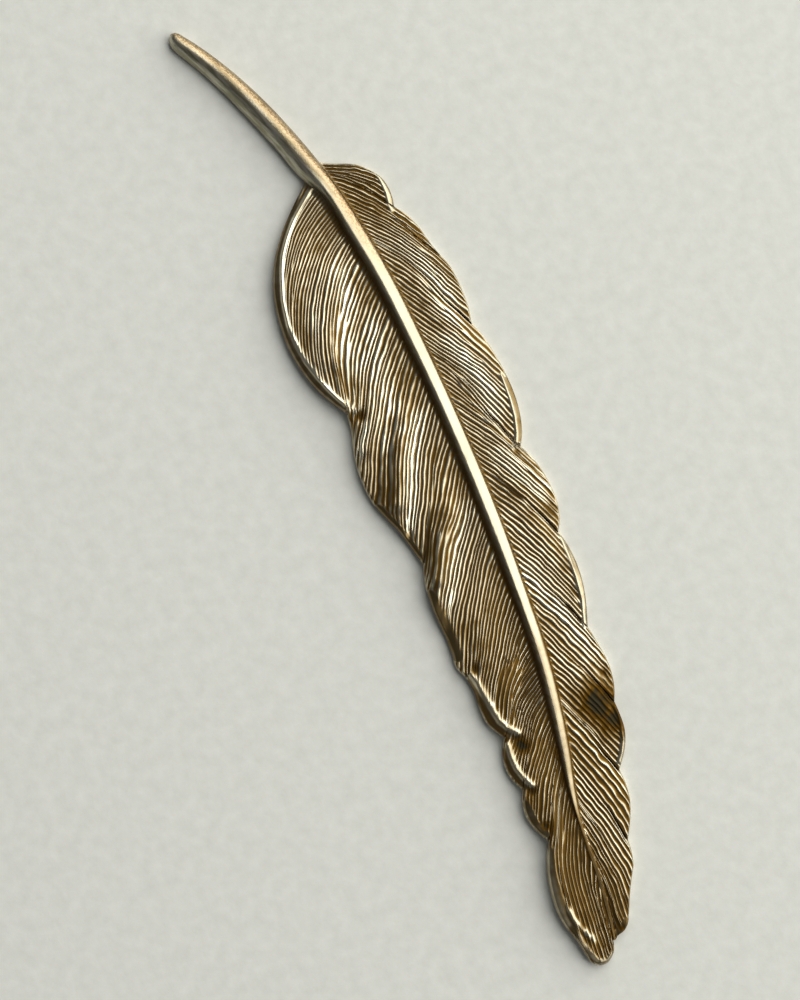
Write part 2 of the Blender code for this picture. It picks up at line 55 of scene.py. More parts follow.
# %% The outline of each vane, lobe by lobe, from the quill towards the tip
CENTRE = (6.798, 0.156)
QUILL_END = 50.35
TIP_END = -48.3
VANE_TOP = {-1: 32.1, 1: 32.5}
LOBES = {
    -1: [
        [(-2.36, 17.8), (-2.23, 16.0), (-1.98, 14.4), (-1.4, 12.4), (-0.7, 10.9), (0.15, 9.4)],
        [(0.15, 9.4), (-0.1, 7.9), (-0.75, 5.9), (-1.2, 3.9), (-1.3, 2.0), (-1.15, 0.2),
         (-0.6, -1.6), (0.0, -3.4), (0.4, -5.3), (0.75, -7.1)],
        [(0.75, -7.1), (0.15, -8.8), (-0.15, -10.6), (-0.25, -12.6), (-0.22, -14.6),
         (-0.38, -16.4), (-0.52, -17.7), (-0.1, -18.9)],
        [(-0.1, -18.9), (0.05, -20.3), (-0.15, -22.4), (-0.1, -23.9), (0.35, -25.0),
         (0.85, -25.8)],
        [(0.85, -25.8), (0.15, -27.0), (-0.28, -28.6), (-0.2, -29.8), (0.35, -31.2)],
        [(0.35, -31.2), (-0.25, -32.5), (-0.45, -33.7), (-0.25, -35.0), (0.5, -36.8)],
        [(0.5, -36.8), (-0.35, -38.3), (-0.95, -39.8), (-1.35, -41.4), (-1.6, -43.4),
         (-1.5, -45.0), (-1.05, -46.8), (-0.8, -48.6), (-0.6, -49.35), (-0.25, -49.8),
         (0.35, -50.08), (0.9, -50.02), (1.3, -49.8), (1.8, -49.35), (2.1, -48.8)],
    ],
    1: [
        [(12.3, 30.1), (12.95, 29.0), (13.17, 27.8), (13.1, 26.7), (12.9, 25.9)],
        [(12.9, 25.9), (13.7, 24.6), (14.25, 23.1), (14.6, 21.3), (15.0, 19.7)],
        [(15.0, 19.7), (15.4, 18.5), (15.52, 17.0), (15.5, 15.4), (15.35, 13.8), (15.0, 12.4)],
        [(15.0, 12.4), (15.45, 10.8), (15.8, 8.5), (15.95, 6.3), (15.9, 4.3), (15.5, 2.0),
         (14.9, 0.4), (14.3, -0.6)],
        [(14.3, -0.6), (14.9, -2.2), (15.25, -3.9), (15.35, -5.6), (15.15, -7.5), (14.7, -8.8),
         (14.15, -9.7)],
        [(14.15, -9.7), (14.4, -11.0), (14.5, -12.7), (14.38, -14.4), (13.95, -16.4),
         (13.4, -18.0), (12.85, -19.4)],
        [(12.85, -19.4), (13.05, -21.0), (13.2, -22.9), (13.1, -24.4), (12.75, -25.8),
         (12.15, -27.1)],
        [(12.15, -27.1), (12.12, -28.5), (11.95, -29.9), (11.5, -31.1), (10.8, -32.2),
         (9.8, -33.4)],
        [(9.8, -33.4), (9.8, -34.9), (9.5, -36.5), (8.8, -38.1), (7.7, -39.9)],
        [(7.7, -39.9), (7.55, -41.0), (7.2, -42.3), (6.4, -43.6), (5.5, -45.1), (4.7, -46.6),
         (4.15, -47.5), (3.7, -47.85), (2.8, -48.1)],
    ],
}
print("lobes on the left and right vanes:", len(LOBES[-1]), len(LOBES[1]))

# %% The shaft: x, y and half its width
SHAFT = [
    (0.15, 50.35, 0.16), (0.2, 50.2, 0.45), (0.28, 49.9, 0.66), (0.42, 49.4, 0.80),
    (1.17, 48.0, 0.92), (2.23, 46.0, 1.0), (3.15, 44.0, 1.08), (4.70, 40.0, 1.19),
    (5.98, 36.0, 1.22), (6.80, 33.0, 1.22), (7.65, 30.3, 0.95), (8.40, 25.0, 1.00),
    (8.90, 20.0, 0.97), (9.12, 14.0, 0.93), (9.18, 8.0, 0.90), (9.05, 1.0, 0.90),
    (8.72, -6.0, 0.90), (8.20, -12.8, 0.82), (7.50, -20.0, 0.76), (6.63, -25.0, 0.70),
    (5.53, -30.0, 0.56), (4.72, -33.2, 0.38), (4.15, -36.2, 0.22), (3.85, -38.5, 0.20),
    (3.70, -41.0, 0.20), (3.35, -43.5, 0.20), (2.95, -45.8, 0.20), (2.37, -48.3, 0.13),
]

# %% [markdown]
# ## Guide barbs
# Barbs leave the shaft at a slant and curve towards the tip. Each row below is one guide:
# its y on the shaft, where it meets the outline (2.0 is the second notch), its angle at the
# shaft and at the outline in degrees below the sideways direction, and how strongly the two
# ends pull on the curve. Every barb between two guides is blended from them.

# %% The guides
GUIDES = {
    -1: [
        (32.1, 0.00, 38, 87, 0.43), (30.2, 0.12, 24, 73, 0.37), (28.0, 0.26, 21, 71, 0.37),
        (26.0, 0.64, 27, 74, 0.37), (24.0, 0.95, 36, 77, 0.37), (23.5, 1.00, 36, 77, 0.37),
        (22.0, 1.05, 38, 78, 0.37), (20.0, 1.11, 36, 68, 0.37), (18.0, 1.22, 42, 57, 0.37),
        (16.0, 1.41, 45, 60, 0.37), (14.0, 1.53, 43, 60, 0.37), (12.0, 1.69, 48, 64, 0.37),
        (10.0, 1.80, 50, 70, 0.37), (8.0, 1.86, 49, 64, 0.37), (6.0, 1.94, 53, 59, 0.37),
        (4.9, 2.00, 51, 57, 0.37), (4.0, 2.05, 48, 56, 0.37), (2.0, 2.21, 48, 50, 0.37),
        (0.0, 2.38, 53, 55, 0.37), (-2.0, 2.55, 54, 61, 0.37), (-4.0, 2.71, 51, 64, 0.37),
        (-6.0, 2.92, 48, 67, 0.37), (-6.8, 3.00, 48, 66, 0.37), (-10.0, 3.38, 48, 64, 0.37),
        (-14.0, 3.77, 47, 62, 0.37), (-17.2, 3.93, 42, 60, 0.37), (-19.2, 4.00, 27, 52, 0.37),
        (-22.3, 4.55, 32, 56, 0.37), (-24.0, 5.00, 36, 62, 0.37), (-26.0, 5.47, 40, 58, 0.37),
        (-28.0, 5.80, 50, 59, 0.37), (-29.8, 6.00, 54, 55, 0.37), (-30.6, 6.19, 54, 57, 0.37),
        (-31.3, 6.40, 54, 66, 0.37), (-31.9, 6.56, 53, 76, 0.37), (-32.7, 6.74, 53, 86, 0.37),
        (-34.0, 6.80, 52, 88, 0.37), (-36.0, 6.86, 57, 82, 0.37), (-38.0, 6.905, 66, 82, 0.37),
        (-40.5, 6.945, 68, 82, 0.37), (-44.0, 6.975, 68, 82, 0.30),
        (-46.5, 6.99, 70, 78, 0.15), (-48.3, 7.00, 66, 66, 0.05),
    ],
    1: [
        (32.5, 0.00, 33, 52, 0.46), (32.0, 0.30, 30, 58, 0.40), (31.5, 0.72, 29, 68, 0.36),
        (31.1, 1.00, 34, 56, 0.34), (30.0, 1.61, 42, 58, 0.37), (28.9, 2.00, 45, 65, 0.37),
        (28.0, 2.26, 47, 68, 0.37), (26.0, 2.52, 44, 66, 0.37), (24.0, 2.86, 48, 65, 0.37),
        (23.3, 3.00, 50, 65, 0.37), (22.0, 3.15, 54, 65, 0.37), (20.0, 3.34, 58, 68, 0.37),
        (18.0, 3.48, 60, 68, 0.37), (16.0, 3.58, 61, 71, 0.37), (14.0, 3.70, 60, 74, 0.37),
        (12.0, 3.88, 58, 76, 0.37), (10.7, 4.00, 56, 66, 0.37), (10.0, 4.08, 55, 60, 0.37),
        (8.0, 4.24, 54, 61, 0.37), (6.0, 4.39, 56, 65, 0.37), (4.0, 4.64, 60, 71, 0.37),
        (2.0, 4.82, 60, 71, 0.37), (-0.3, 5.00, 60, 71, 0.37), (-2.0, 5.33, 60, 76, 0.37),
        (-4.0, 5.55, 61, 75, 0.37), (-6.0, 5.76, 65, 80, 0.37), (-8.0, 5.86, 63, 77, 0.37),
        (-10.6, 6.00, 60, 71, 0.37), (-12.0, 6.28, 60, 71, 0.37), (-14.0, 6.63, 63, 71, 0.37),
        (-16.0, 6.87, 66, 71, 0.37), (-17.2, 7.00, 68, 74, 0.37), (-18.0, 7.11, 68, 76, 0.37),
        (-20.0, 7.43, 64, 71, 0.37), (-22.0, 7.63, 63, 66, 0.37), (-25.1, 8.00, 69, 72, 0.37),
        (-26.0, 8.25, 72, 79, 0.37), (-28.0, 8.60, 72, 83, 0.37), (-30.7, 9.00, 73, 83, 0.37),
        (-32.0, 9.15, 75, 81, 0.37), (-34.0, 9.41, 78, 89, 0.37), (-36.0, 9.70, 78, 97, 0.37),
        (-38.0, 9.86, 78, 95, 0.37), (-40.0, 9.925, 82, 92, 0.37), (-43.0, 9.955, 88, 92, 0.25),
        (-45.5, 9.98, 90, 90, 0.12), (-47.3, 9.993, 80, 80, 0.05), (-48.3, 10.0, 0, 0, 0.05),
    ],
}
NOTCHES = {s: [g[0] for g in GUIDES[s][1:-1] if g[1] == round(g[1])] for s in (-1, 1)}
print("notches by y on the shaft:", NOTCHES)


# %% [markdown]
# ## Reading the tables
# Two kinds of smooth curve are enough. One flows through its points, for outlines. The other
# never swings past its points, for angles and heights, which must not overshoot.

# %% Smooth curves through tables
def hermite(xs, ys, slopes, x):
    k = np.clip(np.searchsorted(xs, x, side="right") - 1, 0, len(xs) - 2)
    h = xs[k + 1] - xs[k]
    t = np.clip((x - xs[k]) / h, 0, 1)
    ends = ys[k] * (1 + 2 * t) * (1 - t) ** 2 + ys[k + 1] * t * t * (3 - 2 * t)
    return ends + h * t * (1 - t) * (slopes[k] * (1 - t) - slopes[k + 1] * t)


def steady(table, column, x):
    xs = np.array([-row[0] for row in table], float)
    ys = np.array([row[column] for row in table], float)
    h = np.diff(xs)
    d = np.diff(ys) / h
    slopes = np.r_[d[0], np.zeros(len(xs) - 2), d[-1]]
    same = d[:-1] * d[1:] > 0
    before = np.where(same, d[:-1], 1.0)
    after = np.where(same, d[1:], 1.0)
    w1 = 2 * h[1:] + h[:-1]
    w2 = h[1:] + 2 * h[:-1]
    slopes[1:-1] = np.where(same, (w1 + w2) / (w1 / before + w2 / after), 0.0)
    return hermite(xs, ys, slopes, -np.asarray(x, float))


def flowing(xs, ys, x):
    xs = np.asarray(xs, float)
    ys = np.asarray(ys, float)
    h = np.diff(xs)
    d = np.diff(ys) / h
    middle = (d[:-1] * h[1:] + d[1:] * h[:-1]) / (h[:-1] + h[1:])
    return hermite(xs, ys, np.r_[d[0], middle, d[-1]], x)


def ease(x):
    t = np.clip(x, 0, 1)
    return t * t * (3 - 2 * t)


# %% Where the outline, the shaft and a barb run
def outline(side, place):
    x = np.zeros_like(place)
    y = np.zeros_like(place)
    index = np.clip(np.floor(place).astype(int), 0, len(LOBES[side]) - 1)
    for i, lobe in enumerate(LOBES[side]):
        points = np.array(lobe)
        run = np.r_[0, np.cumsum(np.hypot(*np.diff(points, axis=0).T))]
        here = index == i
        x[here] = flowing(run / run[-1], points[:, 0], place[here] - i)
        y[here] = flowing(run / run[-1], points[:, 1], place[here] - i)
    return x, y


def shaft_line(y):
    return flowing([-row[1] for row in SHAFT], [row[0] for row in SHAFT], -y)


def shaft_edge(side, y):
    above = np.minimum(y + 0.05, QUILL_END)
    below = np.maximum(y - 0.05, TIP_END)
    tx = shaft_line(below) - shaft_line(above)
    ty = below - above
    length = np.hypot(tx, ty)
    half = flowing([-row[1] for row in SHAFT], [row[2] for row in SHAFT], -y)
    return shaft_line(y) - side * half * ty / length, y + side * half * tx / length


def bezier(p0, p1, p2, p3, v):
    return p0 * (1 - v) ** 3 + 3 * p1 * v * (1 - v) ** 2 + 3 * p2 * v * v * (1 - v) + p3 * v ** 3


def barb(side, y, v):
    sx, sy = shaft_edge(side, y)
    rx, ry = outline(side, steady(GUIDES[side], 1, y))
    start = np.radians(steady(GUIDES[side], 2, y))
    finish = np.radians(steady(GUIDES[side], 3, y))
    pull = steady(GUIDES[side], 4, y) * np.hypot(rx - sx, ry - sy)
    x = bezier(sx, sx + side * pull * np.cos(start), rx - side * pull * np.cos(finish), rx, v)
    yy = bezier(sy, sy - pull * np.sin(start), ry + pull * np.sin(finish), ry, v)
    return x, yy


def near(x, y, line):
    """Distance to a line through points, on which side of it, and how far along it."""
    best = np.full(x.shape, 99.0)
    hand = np.ones(x.shape)
    along = np.zeros(x.shape)
    p = np.array(line)
    run = np.r_[0, np.cumsum(np.hypot(*np.diff(p, axis=0).T))]
    for i in range(len(p) - 1):
        dx, dy = p[i + 1] - p[i]
        t = np.clip(((x - p[i, 0]) * dx + (y - p[i, 1]) * dy) / (dx * dx + dy * dy), 0, 1)
        d = np.hypot(x - p[i, 0] - t * dx, y - p[i, 1] - t * dy)
        closer = d < best
        turn = dx * (y - p[i, 1]) - dy * (x - p[i, 0])
        best = np.where(closer, d, best)
        hand = np.where(closer, np.sign(turn), hand)
        along = np.where(closer, (run[i] + t * (run[i + 1] - run[i])) / run[-1], along)
    return best, hand, along


# %% [markdown]
# ## Heights
# On the real piece the vanes swell and fold like a true feather, the lower end of each lobe
# lies over the start of the next, and some rims are rolled up into a bead. All of it is low
# relief, under 2.5 mm, so one height over the flat back describes it.

# %% Height tables, in millimetres
SHAFT_CREST = [
    (50.35, 0.9), (50.2, 1.15), (49.9, 1.35), (49.4, 1.5), (47.0, 1.65), (40.0, 1.85),
    (33.0, 2.0), (26.0, 2.05), (15.0, 2.05), (0.0, 2.0), (-15.0, 1.9), (-25.0, 1.75),
    (-33.0, 1.55), (-35.4, 1.4), (-36.6, 1.2), (-40.0, 1.15), (-48.3, 0.86),
]
SHAFT_FOOT = [
    (50.35, 0.5), (48.0, 0.55), (34.0, 0.6), (32.3, 0.75), (30.0, 1.0), (0.0, 1.05),
    (-30.0, 1.05), (-40.0, 1.1), (-48.3, 0.8),
]
DOME = {
    -1: [(0.0, 0.0), (0.1, 0.0), (0.35, 0.25), (0.62, 0.5), (0.85, 0.42), (1.0, 0.15)],
    1: [(0.0, 0.0), (0.15, 0.1), (0.35, 0.25), (0.5, 0.27), (0.75, 0.08), (1.0, -0.25)],
}
DOME_GAIN = {
    -1: [(32.5, 1.0), (-14.0, 1.0), (-20.0, 0.8), (-34.0, 0.7), (-39.0, 0.0), (-48.3, 0.0)],
    1: [(32.5, 0.4), (26.0, 0.8), (20.0, 1.0), (0.0, 1.0), (-12.0, 0.3), (-30.0, 0.3),
        (-36.0, 0.2), (-39.0, 0.0), (-48.3, 0.0)],
}
FOLDS = {
    -1: [
        (32.1, 0.0), (28.0, 0.1), (24.3, 0.3), (21.8, 0.15), (19.3, -0.1), (17.5, -0.05),
        (15.7, 0.1), (14.0, 0.0), (12.3, -0.05), (10.5, 0.1), (9.0, 0.0), (7.6, -0.2),
        (5.0, -0.2), (2.0, 0.05), (0.2, 0.2), (-1.8, -0.05), (-4.0, -0.3), (-8.0, -0.1),
        (-14.0, 0.05), (-18.6, 0.2), (-20.0, -0.05), (-22.0, -0.2), (-24.2, -0.05),
        (-26.5, 0.1), (-29.5, 0.15), (-31.5, 0.25), (-33.0, 0.1), (-36.0, 0.0), (-48.3, 0.0),
    ],
    1: [
        (32.5, 0.0), (31.2, 0.1), (30.5, -0.05), (27.0, 0.1), (23.5, 0.0), (19.0, 0.1),
        (13.0, 0.1), (10.9, 0.0), (9.5, -0.15), (6.0, 0.1), (3.0, 0.05), (0.0, 0.1),
        (-1.2, -0.05), (-4.0, 0.1), (-8.0, -0.1), (-10.3, -0.05), (-13.0, -0.1), (-16.5, 0.0),
        (-20.0, 0.15), (-23.0, 0.0), (-25.0, -0.15), (-27.5, 0.0), (-30.3, 0.1), (-32.5, 0.0),
        (-36.0, 0.05), (-48.3, 0.0),
    ],
}
EDGE_HEIGHT = 0.70
EDGE_ROUND = {-1: 0.28, 1: 0.16}
FOLD_GAIN = {-1: 1.05, 1: 0.85}
SHINGLE_HEIGHT = 0.16
SHINGLE_REACH = 1.8

# %% Rolled rims, plain bands and pockets
# A bead is a line with a height and a width. A plain band was left smooth: a line, a half
# width and how tarnished it is. A pocket is a hollow with painted shade: x, y, radius, depth
# and how dark its painted shade is. A depth of zero leaves only a painted dark spot, and one
# below zero makes a low mound.
BEADS = [
    ([(5.9, 30.6), (5.0, 30.0), (3.4, 28.8), (2.0, 27.4), (0.9, 26.0), (0.1, 24.4), (-0.9, 21.9),
      (-1.4, 19.5), (-1.45, 17.5), (-1.3, 15.6), (-0.95, 13.9), (-0.5, 12.4), (0.0, 11.1),
      (0.6, 9.9), (1.3, 9.15)], 0.22, 0.2),
    ([(12.75, 29.3), (12.8, 28.3), (12.75, 27.3), (12.55, 26.3), (12.5, 25.7)], 0.12, 0.2),
    ([(15.5, 6.5), (15.3, 4.0), (15.0, 2.3), (14.5, 0.8), (14.1, 0.0), (13.75, -0.35)],
     0.17, 0.17),
    ([(14.15, -10.4), (14.05, -12.5), (13.85, -14.5), (13.45, -16.7), (12.95, -18.2),
      (12.55, -19.2)], 0.14, 0.17),
    ([(12.0, -27.5), (11.85, -29.2), (11.35, -30.8), (10.7, -31.9), (10.1, -32.6)], 0.16, 0.18),
    ([(0.55, -18.9), (0.75, -20.2), (0.9, -21.7), (1.0, -23.0), (1.15, -24.1), (1.6, -25.0),
      (2.3, -25.9)], 0.27, 0.33),
    ([(0.9, -26.6), (0.7, -27.8), (0.7, -29.0), (0.95, -30.1), (1.4, -31.1)], 0.25, 0.3),
    ([(-0.45, -43.6), (-0.35, -44.8), (-0.1, -45.8), (0.35, -46.9), (0.6, -47.3)], 0.16, 0.22),
    ([(0.3, -49.7), (0.9, -49.75), (1.5, -49.4)], 0.1, 0.14),
    ([(0.0, -37.7), (-0.7, -39.6), (-1.05, -41.4), (-1.3, -43.4), (-1.2, -45.0)], 0.09, 0.4),
]
PLAIN = [
    ([(4.5, 30.5), (2.6, 29.0), (0.9, 27.0), (-0.4, 24.6), (-1.5, 21.8), (-1.95, 19.0),
      (-1.9, 16.4), (-1.5, 14.0), (-0.9, 12.0), (0.1, 10.2)], 0.38, 0.5),
    ([(13.0, 28.8), (13.05, 27.2), (12.8, 26.0)], 0.2, 0.4),
    ([(15.7, 6.0), (15.6, 3.8), (15.1, 1.6), (14.4, 0.1)], 0.16, 0.6),
    ([(14.25, -10.6), (14.25, -13.0), (13.9, -15.6), (13.3, -17.6), (12.8, -19.1)], 0.18, 0.4),
    ([(12.0, -28.0), (11.7, -30.2), (10.6, -32.2)], 0.16, 0.4),
    ([(-0.9, -0.4), (-0.35, -2.0), (0.35, -4.2), (0.6, -6.2)], 0.4, 0.6),
    ([(0.15, -10.2), (0.25, -12.3), (0.25, -14.4), (0.05, -16.6)], 0.5, 0.6),
    ([(0.4, -19.6), (0.5, -22.0), (0.6, -23.9), (1.3, -25.3)], 0.5, 0.8),
    ([(0.5, -27.2), (0.35, -29.0), (0.8, -30.6)], 0.45, 0.8),
    ([(0.1, -32.6), (0.1, -34.5), (0.6, -36.0)], 0.3, 0.5),
    ([(0.2, -37.6), (-0.5, -39.6), (-0.85, -41.6), (-1.0, -43.6), (-0.8, -45.6)], 0.45, 0.62),
    ([(-0.7, -46.5), (-0.4, -48.2), (0.0, -49.5), (0.9, -49.85), (1.6, -49.4)], 0.2, 0.4),
    ([(2.9, -47.75), (3.6, -47.6), (4.2, -47.0)], 0.22, 0.7),
]
POCKETS = [
    (1.3, 8.6, 0.5, 0.3, 1.4), (2.1, -27.2, 0.9, 0.35, 1.5), (1.2, -31.8, 0.45, 0.3, 1.4),
    (0.9, -35.3, 0.6, 0.2, 1.4), (12.2, -24.1, 0.5, 0.25, 0.9), (10.6, -26.5, 2.2, 0.12, 1.5),
    (11.3, -28.5, 2.0, 0.12, 1.3), (5.2, -29.3, 1.1, 0.0, 0.9), (4.6, -31.8, 0.8, 0.0, 0.9),
    (13.7, -0.9, 0.35, 0.2, 0.9), (1.0, -18.5, 0.4, 0.3, 1.4), (0.3, -45.6, 0.5, 0.15, 0.8),
    (3.4, -47.55, 0.5, 0.2, 0.9), (-0.2, -47.0, 0.4, 0.15, 0.8), (0.2, 1.0, 1.4, 0.1, 0.45),
    (3.7, -4.4, 1.1, 0.05, 0.3), (1.6, -14.6, 1.7, 0.1, 0.4), (14.4, -7.6, 1.1, 0.12, 0.6),
    (0.6, -40.2, 0.7, 0.0, 0.45), (0.5, -42.6, 0.8, 0.0, 0.6), (0.6, -44.6, 0.7, 0.0, 0.6),
    (13.3, -13.0, 1.0, 0.0, 0.4), (13.3, -16.0, 0.9, 0.0, 0.4), (4.9, -45.6, 1.1, 0.1, 0.5),
    (0.2, 13.5, 0.9, 0.1, 0.3), (-0.2, 5.4, 0.55, -0.12, 0.0), (1.1, -2.7, 0.6, -0.14, 0.0),
    (1.1, -10.5, 0.6, -0.14, 0.0),
]

# %% Tarnish along the feather, by y on the shaft
AGE = {
    -1: [(32.5, 0.05), (26.0, 0.0), (-9.0, 0.0), (-13.0, 0.2), (-18.0, 0.4), (-24.0, 0.35),
         (-36.0, 0.55), (-40.0, 0.65), (-48.3, 0.7)],
    1: [(32.5, 0.5), (29.0, 0.4), (25.5, 0.1), (23.0, 0.0), (-20.0, 0.05), (-26.0, 0.25),
        (-34.0, 0.2), (-37.0, 0.5), (-40.0, 0.65), (-48.3, 0.75)],
}
print("tarnish tables:", len(AGE))

# %% Rubbed places and painted highlights
# The high parts are rubbed bright, and the same lines paint highlights where the folds face the
# light: a line, a half width and a strength.
RUBBED_AND_HIGHLIT = [
    ([(5.6, 22.0), (4.6, 19.0), (3.9, 16.5), (3.0, 13.5)], 1.4, 1.0),
    ([(5.6, 17.0), (5.2, 14.0), (4.7, 11.5), (4.2, 9.0), (4.6, 6.0)], 1.2, 0.9),
    ([(3.2, 24.5), (1.9, 22.0), (1.0, 18.5)], 1.3, 0.75),
    ([(1.4, -1.6), (1.1, -2.8)], 0.6, 1.0),
    ([(6.2, 6.2), (4.8, 4.2), (3.4, 1.6), (2.2, -0.6), (1.2, -2.6)], 1.0, 1.0),
    ([(3.4, 10.0), (2.6, 6.5), (2.4, 3.5)], 0.9, 0.8),
    ([(1.6, 7.8), (0.6, 6.4), (-0.3, 5.2)], 0.45, 1.0),
    ([(6.9, -3.8), (5.2, -6.0), (3.4, -8.6), (1.4, -11.2)], 0.8, 0.85),
    ([(2.0, -9.6), (0.9, -10.6)], 0.5, 0.8),
    ([(6.4, -19.0), (5.0, -21.5), (3.4, -23.5)], 1.1, 0.85),
    ([(1.3, -21.5), (1.7, -24.5), (2.5, -25.9)], 0.25, 0.6),
    ([(0.95, -28.6), (1.2, -30.2), (1.6, -31.1)], 0.25, 0.55),
    ([(4.6, -26.5), (3.2, -29.5), (2.2, -32.0)], 0.6, 0.6),
    ([(4.9, -36.8), (4.6, -39.5), (3.9, -42.0)], 1.0, 0.6),
    ([(0.2, -45.0), (0.5, -46.8)], 0.35, 0.9),
    ([(0.5, -47.5), (0.5, -49.2)], 0.3, 0.9),
    ([(1.9, -46.8), (2.0, -48.4)], 0.25, 0.8),
    ([(12.2, 24.0), (13.2, 21.0), (13.6, 17.0), (13.3, 13.5)], 1.1, 0.95),
    ([(12.6, 12.0), (13.2, 9.0), (13.6, 6.0), (13.3, 3.5)], 1.1, 1.0),
    ([(11.8, -0.5), (13.0, -3.0), (14.3, -5.4)], 0.9, 0.9),
    ([(10.4, -6.0), (11.8, -9.0), (12.6, -12.0)], 1.0, 0.6),
    ([(9.6, -11.5), (10.8, -16.5), (11.8, -22.0)], 1.3, 1.0),
    ([(9.0, -20.0), (9.6, -23.0)], 0.7, 0.5),
    ([(7.6, -27.5), (8.4, -31.0), (8.8, -35.0)], 0.95, 1.0),
    ([(5.6, -31.0), (6.4, -35.0), (6.2, -40.0)], 1.1, 0.55),
    ([(10.5, 31.0), (11.5, 28.5)], 1.0, 0.35),
    ([(3.4, 28.8), (0.1, 24.4), (-1.4, 19.5), (-1.3, 15.6), (0.0, 11.1), (1.3, 9.2)], 0.25, 0.8),
]
print("beads, plain bands, pockets, rubbed places:",
      len(BEADS), len(PLAIN), len(POCKETS), len(RUBBED_AND_HIGHLIT))


# %% [markdown]
# ## Swells
# A swell is a long rounded wave that follows the barbs. Its right side is short and steep and
# catches the light, and its left side is long and gentle. Each is a line with a height, the
# width of the gentle side and the width of the steep side.

# %% The swells
SWELLS = [
    ([(6.6, 23.6), (4.6, 22.0), (2.8, 19.6), (1.4, 16.6), (0.5, 13.8)], 0.35, 2.8, 2.0),
    ([(4.8, 10.6), (3.2, 8.6), (1.6, 6.8), (-0.1, 4.9)], 0.28, 1.6, 1.5),
    ([(6.2, 8.2), (4.2, 5.2), (2.2, 1.6), (0.4, -1.6)], 0.4, 2.6, 1.9),
    ([(6.8, -2.4), (4.6, -4.6), (2.6, -7.2), (0.8, -9.8)], 0.35, 2.6, 1.4),
]


# %% Smooth irregularity, the same on every run
def ripple(x, y, size, seed):
    """A soft random field of about -1 to 1, with bumps of the given size."""
    rng = np.random.default_rng(seed)
    total = np.zeros(x.shape)
    for _ in range(7):
        turn = rng.uniform(0, 2 * math.pi)
        wave = 2 * math.pi / (size * rng.uniform(0.7, 1.6))
        total += np.sin(wave * (x * math.cos(turn) + y * math.sin(turn)) + rng.uniform(0, 6.3))
    return total / 3.2


# %% [markdown]
# ## Engraving
# The barbs are cut as ridges of nearly even pitch, more than a hundred on each side. Where the
# vane narrows, neighbouring ridges run together in pairs, as an engraver would let them, so
# that the pitch stays nearly the same. Each notch of the outline falls in a groove between two
# ridges. The level below counts how often the ridges have run together at a point.

# %% Ridge spacing
RIDGE_COUNT = {-1: 124, 1: 106}
PITCH = {
    -1: [(32.5, 0.3), (26.0, 0.34), (22.0, 0.42), (0.0, 0.42), (-8.0, 0.38), (-20.0, 0.34),
         (-48.3, 0.33)],
    1: [(32.5, 0.33), (26.0, 0.34), (20.0, 0.37), (8.0, 0.38), (-4.0, 0.41), (-12.0, 0.43),
        (-33.0, 0.44), (-37.0, 0.36), (-48.3, 0.34)],
}
RIDGE_HEIGHT = {-1: 0.07, 1: 0.065}
MERGE_EARLY = 0.08
MERGE_SCATTER = 0.22
MERGE_LENGTH = 0.12
FADE_LEVEL = 2.2
EVEN_CUT = 0.6
SCRAMBLE = 12.9898

# %% Patina on the vanes
# The edge says how fast the dark fades from a groove to its crest.
GRIME_EDGE = {-1: 1.8, 1: 2.3}
AGE_PATINA = 0.36
SEAM_PATINA = 0.7


# %% Where the ridges start
def spacing(side, y, v):
    """Distance between barbs, across them, for each millimetre of shaft."""
    e = 0.03
    low = np.maximum(y - e, TIP_END)
    high = np.minimum(y + e, VANE_TOP[side])
    x1, y1 = barb(side, high, v)
    x0, y0 = barb(side, low, v)
    x3, y3 = barb(side, y, np.minimum(v + 0.01, 1))
    x2, y2 = barb(side, y, np.maximum(v - 0.01, 0))
    dx, dy = x3 - x2, y3 - y2
    return np.abs((x0 - x1) * dy - (y0 - y1) * dx) / np.hypot(dx, dy) / (high - low)


def ridge_starts(side):
    """The y on the shaft at which each ridge starts."""
    y = np.linspace(VANE_TOP[side], TIP_END, 1600)
    measured = (0.1, 0.3, 0.5, 0.7, 0.85)
    widest = np.max([spacing(side, y, np.full_like(y, v)) for v in measured], 0)
    density = widest / steady(PITCH[side], 1, y)
    run = np.r_[0, np.cumsum(0.5 * (density[1:] + density[:-1]) * -np.diff(y))]
    print("ridges that fit on side", side, ":", round(run[-1], 1))
    total = RIDGE_COUNT[side]
    run = run / run[-1] * total
    knots = [0]
    places = [0.0]
    for notch in NOTCHES[side]:
        place = float(np.interp(-notch, -y, run))
        knots.append(max(knots[-1] + 2, 2 * round(place / 2)))
        places.append(place)
    number = np.arange(total + 1)
    start = np.interp(number, knots + [total], places + [total])
    wander = np.random.default_rng(30 + side).uniform(-0.22, 0.22, total + 1)
    wander[knots + [total]] = 0.0
    return np.interp(start + wander * np.gradient(start), run, y), knots[1:]


STARTS = {}
LOBE_RIDGES = {}
for side in (-1, 1):
    STARTS[side], LOBE_RIDGES[side] = ridge_starts(side)
print("ridges at the notches:", LOBE_RIDGES)


